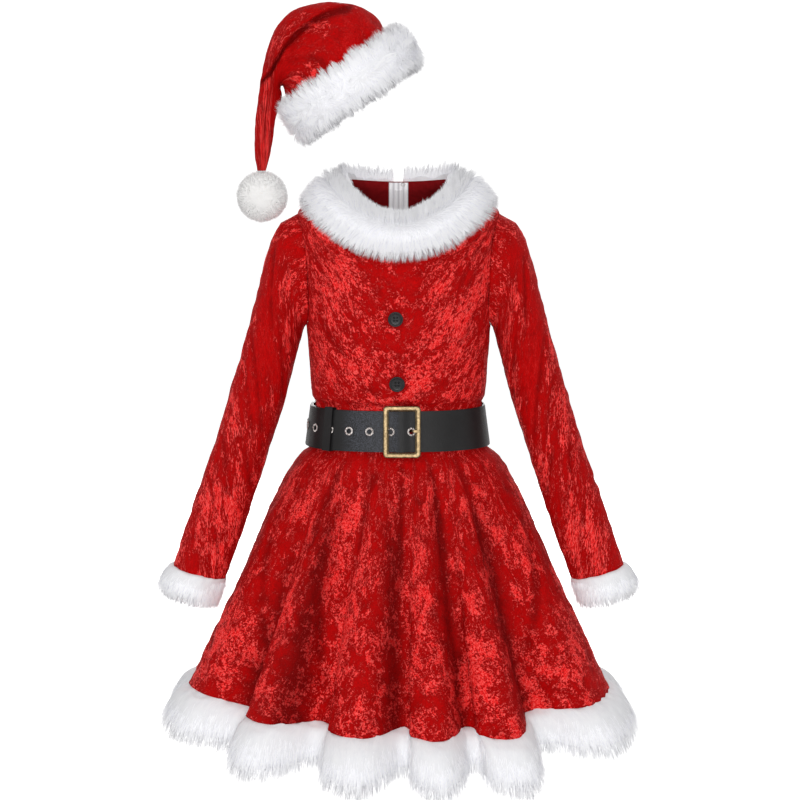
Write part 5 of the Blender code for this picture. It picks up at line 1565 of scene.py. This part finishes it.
def leather_material():
    material, tree, shader = tree_of("leather_black")
    place = node(tree, "ShaderNodeTexCoord").outputs["Object"]
    pebble = node(tree, "ShaderNodeTexVoronoi", Scale=1150.0)
    tree.links.new(place, pebble.inputs["Vector"])
    cloud = noise(tree, place, 34.0, 4.0, 0.6)
    fine = noise(tree, place, 900.0, 3.0, 0.6)
    color = ramp(tree, cloud.outputs[0], ((0.30, (0.0050, 0.0046, 0.0046)),
                                          (0.75, (0.0105, 0.0100, 0.0105))))
    # Painted highlight: on the front of the strap, from the keeper to the buckle, the pebble grain
    # is drawn light and bluish as a reflection
    split = node(tree, "ShaderNodeSeparateXYZ")
    tree.links.new(place, split.inputs[0])
    left = mapped(tree, split.outputs[0], *LEATHER_HIGHLIGHT_LEFT)
    right = mapped(tree, split.outputs[0], *LEATHER_HIGHLIGHT_RIGHT)
    highlight = maths(tree, "MULTIPLY", left, maths(tree, "SUBTRACT", 1.0, right))
    highlight = maths(tree, "MULTIPLY", highlight, maths(tree, "LESS_THAN", split.outputs[1], 0.0))
    lit_pebbles = ramp(tree, fine.outputs[0], ((0.42, grey(0.006)), (0.62, (0.070, 0.074, 0.092))))
    color = mixed(tree, maths(tree, "MULTIPLY", highlight, 0.8), color, lit_pebbles)
    rough = ramp(tree, fine.outputs[0], ((0.3, grey(0.34)), (0.7, grey(0.58))))
    height = weighted(tree, ((pebble.outputs["Distance"], 0.0, 0.8), (fine.outputs[0], 0.0, 0.4)))
    finish_shader(tree, shader, color, rough, (height, 0.5, 0.00035), {"Specular IOR Level": 0.20})
    return material


def metal_material(name, low, high, rough_low, rough_high, scale):
    material, tree, shader = tree_of(name)
    place = node(tree, "ShaderNodeTexCoord").outputs["Object"]
    cloud = noise(tree, place, scale, 6.0, 0.68)
    speck = noise(tree, place, scale * 9, 3.0, 0.6)
    both = weighted(tree, ((cloud.outputs[0], 0.0, 0.6), (speck.outputs[0], 0.0, 0.4)))
    color = ramp(tree, both, ((0.36, low), (0.60, high)))
    rough = ramp(tree, speck.outputs[0], ((0.3, grey(rough_low)), (0.7, grey(rough_high))))
    finish_shader(tree, shader, color, rough, (speck.outputs[0], 0.25, 0.00015), {"Metallic": 1.0})
    return material


def plastic_material():
    material, tree, shader = tree_of("button_black")
    place = node(tree, "ShaderNodeTexCoord").outputs["Object"]
    fine = noise(tree, place, 700.0, 3.0, 0.6).outputs[0]
    color = ramp(tree, fine, ((0.3, (0.004, 0.004, 0.005)), (0.7, (0.010, 0.009, 0.010))))
    rough = ramp(tree, fine, ((0.3, grey(0.22)), (0.7, grey(0.38))))
    finish_shader(tree, shader, color, rough, None, {"Specular IOR Level": 0.25})
    return material


def tape_material():
    """Woven zip tape with ribs that run down it."""
    material, tree, shader = tree_of("zip_tape_woven")
    place = node(tree, "ShaderNodeTexCoord").outputs["Object"]
    ribs = node(tree, "ShaderNodeTexWave", Scale=52.0, Distortion=0.4, Detail=1.0,
                bands_direction="X")
    tree.links.new(place, ribs.inputs["Vector"])
    weave = noise(tree, place, 1400.0, 2.0, 0.5)
    tone = weighted(tree, ((ribs.outputs["Fac"], 0.0, 0.7), (weave.outputs[0], 0.0, 0.3)))
    color = ramp(tree, tone, ((0.15, (0.40, 0.38, 0.41)), (0.65, (0.80, 0.79, 0.81))))
    # Painted glow: a faint emission lightens the tape where the neck shades it
    finish_shader(tree, shader, color, 0.8, (ribs.outputs["Fac"], 0.6, 0.0004),
                  {"Emission Color": (1.0, 0.98, 1.0, 1.0), "Emission Strength": 0.20})
    return material


LEATHER = leather_material()
BRASS = metal_material("brass_antique", (0.055, 0.038, 0.020), (0.245, 0.180, 0.098), 0.26, 0.46,
                       300.0)
STEEL = metal_material("steel_polished", (0.16, 0.13, 0.12), (0.62, 0.58, 0.56), 0.16, 0.34, 300.0)
PLASTIC = plastic_material()
TAPE = tape_material()


def smooth_group():
    """Smooth shading where faces meet at a slight angle; the real edges stay sharp."""
    group = bpy.data.node_groups.new("smooth_slight_angles", "GeometryNodeTree")
    group.interface.new_socket("Geometry", in_out="INPUT", socket_type="NodeSocketGeometry")
    group.interface.new_socket("Geometry", in_out="OUTPUT", socket_type="NodeSocketGeometry")
    enter = group.nodes.new("NodeGroupInput")
    leave = group.nodes.new("NodeGroupOutput")
    merge = group.nodes.new("GeometryNodeMergeByDistance")
    merge.inputs["Distance"].default_value = 1e-6
    normals = group.nodes.new("GeometryNodeSetMeshNormal")
    normals.inputs["Remove Custom"].default_value = True
    angle = group.nodes.new("GeometryNodeInputMeshEdgeAngle")
    sharp = group.nodes.new("FunctionNodeCompare")
    sharp.operation = "GREATER_THAN"
    sharp.inputs["B"].default_value = math.radians(28)
    group.links.new(enter.outputs[0], merge.inputs["Geometry"])
    group.links.new(merge.outputs[0], normals.inputs["Mesh"])
    group.links.new(angle.outputs["Unsigned Angle"], sharp.inputs["A"])
    group.links.new(sharp.outputs[0], normals.inputs["Edge Sharpness"])
    group.links.new(normals.outputs[0], leave.inputs[0])
    return group


SMOOTH = smooth_group()


def finish_node(name, material, bevel=0.0):
    obj = nodes[name]
    for slot in obj.material_slots:
        slot.link = "OBJECT"
        slot.material = material
    obj.modifiers.new("smooth", "NODES").node_group = SMOOTH
    if bevel:
        modifier = obj.modifiers.new("edges", "BEVEL")
        modifier.width = bevel
        modifier.segments = 3
        modifier.limit_method = "ANGLE"
        modifier.angle_limit = math.radians(35)
        modifier.harden_normals = True


def disc_frame(name):
    """A flat round CAD node's middle of the back, its way out of the dress and its radius."""
    verts = np.empty(len(nodes[name].data.vertices) * 3)
    nodes[name].data.vertices.foreach_get("co", verts)
    verts = verts.reshape(-1, 3)
    centre = (verts.min(axis=0) + verts.max(axis=0)) / 2
    out = np.linalg.svd(verts - verts.mean(axis=0))[2][2]
    out = out * np.sign(out[0] * centre[0] + out[1] * centre[1])
    heights = (verts - centre) @ out
    flat = verts - centre - heights[:, None] * out
    back = centre + out * heights.min()
    return back, out, np.linalg.norm(flat, axis=1).max(), heights.max() - heights.min()


def disc_piece(name, cad, sides, profile, height, material):
    """A turned piece on a CAD disc's place; height changes a point's height by its place."""
    back, out, radius, thick = disc_frame(cad)
    side = unit(np.cross(UP, out))
    up = np.cross(out, side)
    turn = 2 * math.pi * np.arange(sides) / sides
    share, level = (np.array(values)[:, None] for values in zip(*profile))
    level = level * height(share, turn[None, :])
    across = (side * np.cos(turn)[:, None] + up * np.sin(turn)[:, None])[None]
    verts = back + across * (share * radius)[..., None] + out * (level * thick)[..., None]
    rows = len(profile)
    faces = quads(rows + 1, sides, 0, True) % (rows * sides)
    obj = mesh_object(name, verts.reshape(-1, 3), faces.tolist(), (material,))
    mended(obj, merge=1e-7)
    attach(obj, "garment")
    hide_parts(cad)


EYELET_RINGS = ((0.58, 0.0), (0.58, 0.45), (0.64, 0.70), (0.74, 1.05), (0.84, 1.10), (0.94, 0.85),
                (1.0, 0.4), (1.0, 0.0))
BUTTON_RINGS = ((0.0, 0.0), (0.86, 0.0), (0.97, 0.22), (1.0, 0.45), (1.0, 0.75), (0.975, 0.93),
                (0.93, 1.0), (0.87, 1.0), (0.81, 0.93), (0.76, 0.74), (0.70, 0.66), (0.60, 0.62),
                (0.50, 0.60), (0.44, 0.60), (0.39, 0.60), (0.34, 0.60), (0.30, 0.60),
                (0.26, 0.60), (0.22, 0.60), (0.17, 0.60), (0.12, 0.60), (0.0, 0.60))
BUTTON_HOLE_AT = 0.28
BUTTON_HOLE_ROUND = 0.105
HOOK_AT = (0.0055, 0.0035)
HOOK_RADIUS = 0.0024
HOOK_WIRE = 0.0004


def make_eyelets():
    """Pressed eyelets: eight petals of metal rolled over round each hole."""
    def petals(share, turn):
        lobe = np.abs(np.cos(4 * turn)) ** 1.3
        return np.where(share > 0.6, -0.35 + 1.4 * lobe, 1.0)

    for k in range(1, 9):
        disc_piece(f"eyelet_{k}_petals", f"belt_eyelet_{k}", 64, EYELET_RINGS, petals, STEEL)


def make_buttons():
    """Four-hole buttons: a rolled rim round a dished face."""
    def holes(share, turn):
        x, y = share * np.cos(turn), share * np.sin(turn)
        apart = np.hypot(np.abs(x) - BUTTON_HOLE_AT * 0.7, np.abs(y) - BUTTON_HOLE_AT * 0.7)
        return 1 - 0.75 * ease((BUTTON_HOLE_ROUND - apart) / 0.05 + 0.5)

    for name in ("button_upper", "button_lower"):
        disc_piece(f"{name}_four_holes", name, 72, BUTTON_RINGS, holes, PLASTIC)


def make_zip_top():
    """The tape's top end, turned up over the neck edge, with a small wire eye on it."""
    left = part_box("zip_tape_left_side")[0][0]
    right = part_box("zip_tape_right_side")[1][0]
    across = np.linspace(left, right, 25)
    rise = np.linspace(-0.030, NECK_STAND + 0.0008, 15)
    levels = np.interp(-rise, (0.0, 0.025), (0.0, 0.5))
    middle = np.full(rise.shape, math.pi)
    wall = body_point(middle, levels)
    wall = wall - surface_normal(body_point, middle, levels) * (VELVET + 0.0022)
    rib = 0.00025 * np.cos(2 * math.pi * (across - left) / ((right - left) / 6))
    y = wall[:, 1:2] - rib[None, :]
    front = stack(across[None, :], y, wall[:, 2:] + np.maximum(rise, 0.0)[:, None])
    verts = np.concatenate((front.reshape(-1, 3), (front + (0, 0.0012, 0)).reshape(-1, 3)))
    sheet = quads(len(rise), len(across), 0, False)
    faces = sheet.tolist() + (sheet[:, ::-1] + front[..., 0].size).tolist()
    obj = mesh_object("zip_tape_turned_top", verts, faces, (TAPE,))
    mended(obj, bridge=True)
    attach(obj, "garment")
    # A small wire eye closes the neck above the zip
    turn = (2 * math.pi * np.arange(28) / 28)[:, None]
    tube = (2 * math.pi * np.arange(8) / 8)[None, :]
    reach = HOOK_RADIUS + HOOK_WIRE * np.cos(tube)
    eye = stack(HOOK_AT[0] + reach * np.cos(turn), y[-1, 0] - 0.0008 + HOOK_WIRE * np.sin(tube),
                HOOK_AT[1] + reach * np.sin(turn) * 0.8)
    faces = quads(29, 8, 0, True) % (28 * 8)
    obj = mesh_object("neck_wire_eye", eye.reshape(-1, 3), faces.tolist(), (STEEL,))
    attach(obj, "garment")


def make_hard_pieces():
    finish_node("belt_strap", LEATHER)
    finish_node("belt_keeper", LEATHER)
    make_zip_top()
    finish_node("buckle_frame", BRASS, 0.0006)
    finish_node("buckle_prong", BRASS, 0.0003)
    make_eyelets()
    make_buttons()
    for name in ("zip_tape_left_side", "zip_tape_right_side", "zip_chain"):
        finish_node(name, TAPE)
    for name in ("zip_slider", "zip_pull_tab"):
        finish_node(name, STEEL, 0.00015)


# Room, light and camera

def stage_piece(name, mesh, strength):
    """A part of the white room; the soft lights and the world alone light the dress."""
    material, tree, shader = tree_of(name)
    shader.inputs["Base Color"].default_value = (0.92, 0.92, 0.92, 1.0)
    shader.inputs["Roughness"].default_value = 0.9
    shader.inputs["Emission Color"].default_value = (1.0, 1.0, 1.0, 1.0)
    shader.inputs["Emission Strength"].default_value = strength
    mesh.materials.append(material)
    obj = linked(name, mesh)
    obj.visible_diffuse = False
    obj.visible_shadow = False


def area_light(name, place, size, power):
    data = bpy.data.lights.new(name, "AREA")
    data.shape = "RECTANGLE"
    data.size, data.size_y = size
    data.energy = power
    obj = linked(name, data)
    obj.location = place
    obj.rotation_mode = "QUATERNION"
    obj.rotation_quaternion = (Vector(LIGHT_AIM) - Vector(place)).to_track_quat("-Z", "Y")


def make_room():
    wide = ROOM_REACH
    low = FLOOR_Z
    floor = bpy.data.meshes.new("floor")
    floor.from_pydata(((-wide, -wide, low), (wide, -wide, low), (wide, wide, low),
                       (-wide, wide, low)), [], [(0, 1, 2, 3)])
    stage_piece("floor", floor, 0.5)
    dome = bpy.data.meshes.new("dome")
    bm = bmesh.new()
    bmesh.ops.create_icosphere(bm, subdivisions=3, radius=wide)
    bm.to_mesh(dome)
    bm.free()
    stage_piece("dome", dome, 0.6)
    world = bpy.data.worlds.new("soft")
    world.use_nodes = True
    background = world.node_tree.nodes["Background"]
    background.inputs["Color"].default_value = (1.0, 1.0, 1.0, 1.0)
    background.inputs["Strength"].default_value = WORLD_STRENGTH
    bpy.context.scene.world = world
    bpy.context.scene.view_settings.view_transform = "Standard"
    for light in LIGHTS:
        area_light(*light)


def make_camera():
    data = bpy.data.cameras.new("camera")
    data.lens = CAMERA_LENS
    data.sensor_width = 36.0
    obj = linked("camera", data)
    forward = Vector((0, math.cos(CAMERA_PITCH), -math.sin(CAMERA_PITCH)))
    obj.location = Vector(CAMERA_AIM) - forward * CAMERA_DISTANCE
    obj.rotation_mode = "QUATERNION"
    obj.rotation_quaternion = forward.to_track_quat("-Z", "Y")
    bpy.context.scene.camera = obj


make_collar_fur()
make_hat_band()
make_pompom()
make_hem_fur()
make_cuff_fur()
make_bodice()
make_sleeves()
make_skirt()
make_hat()
make_hard_pieces()
make_room()
make_camera()
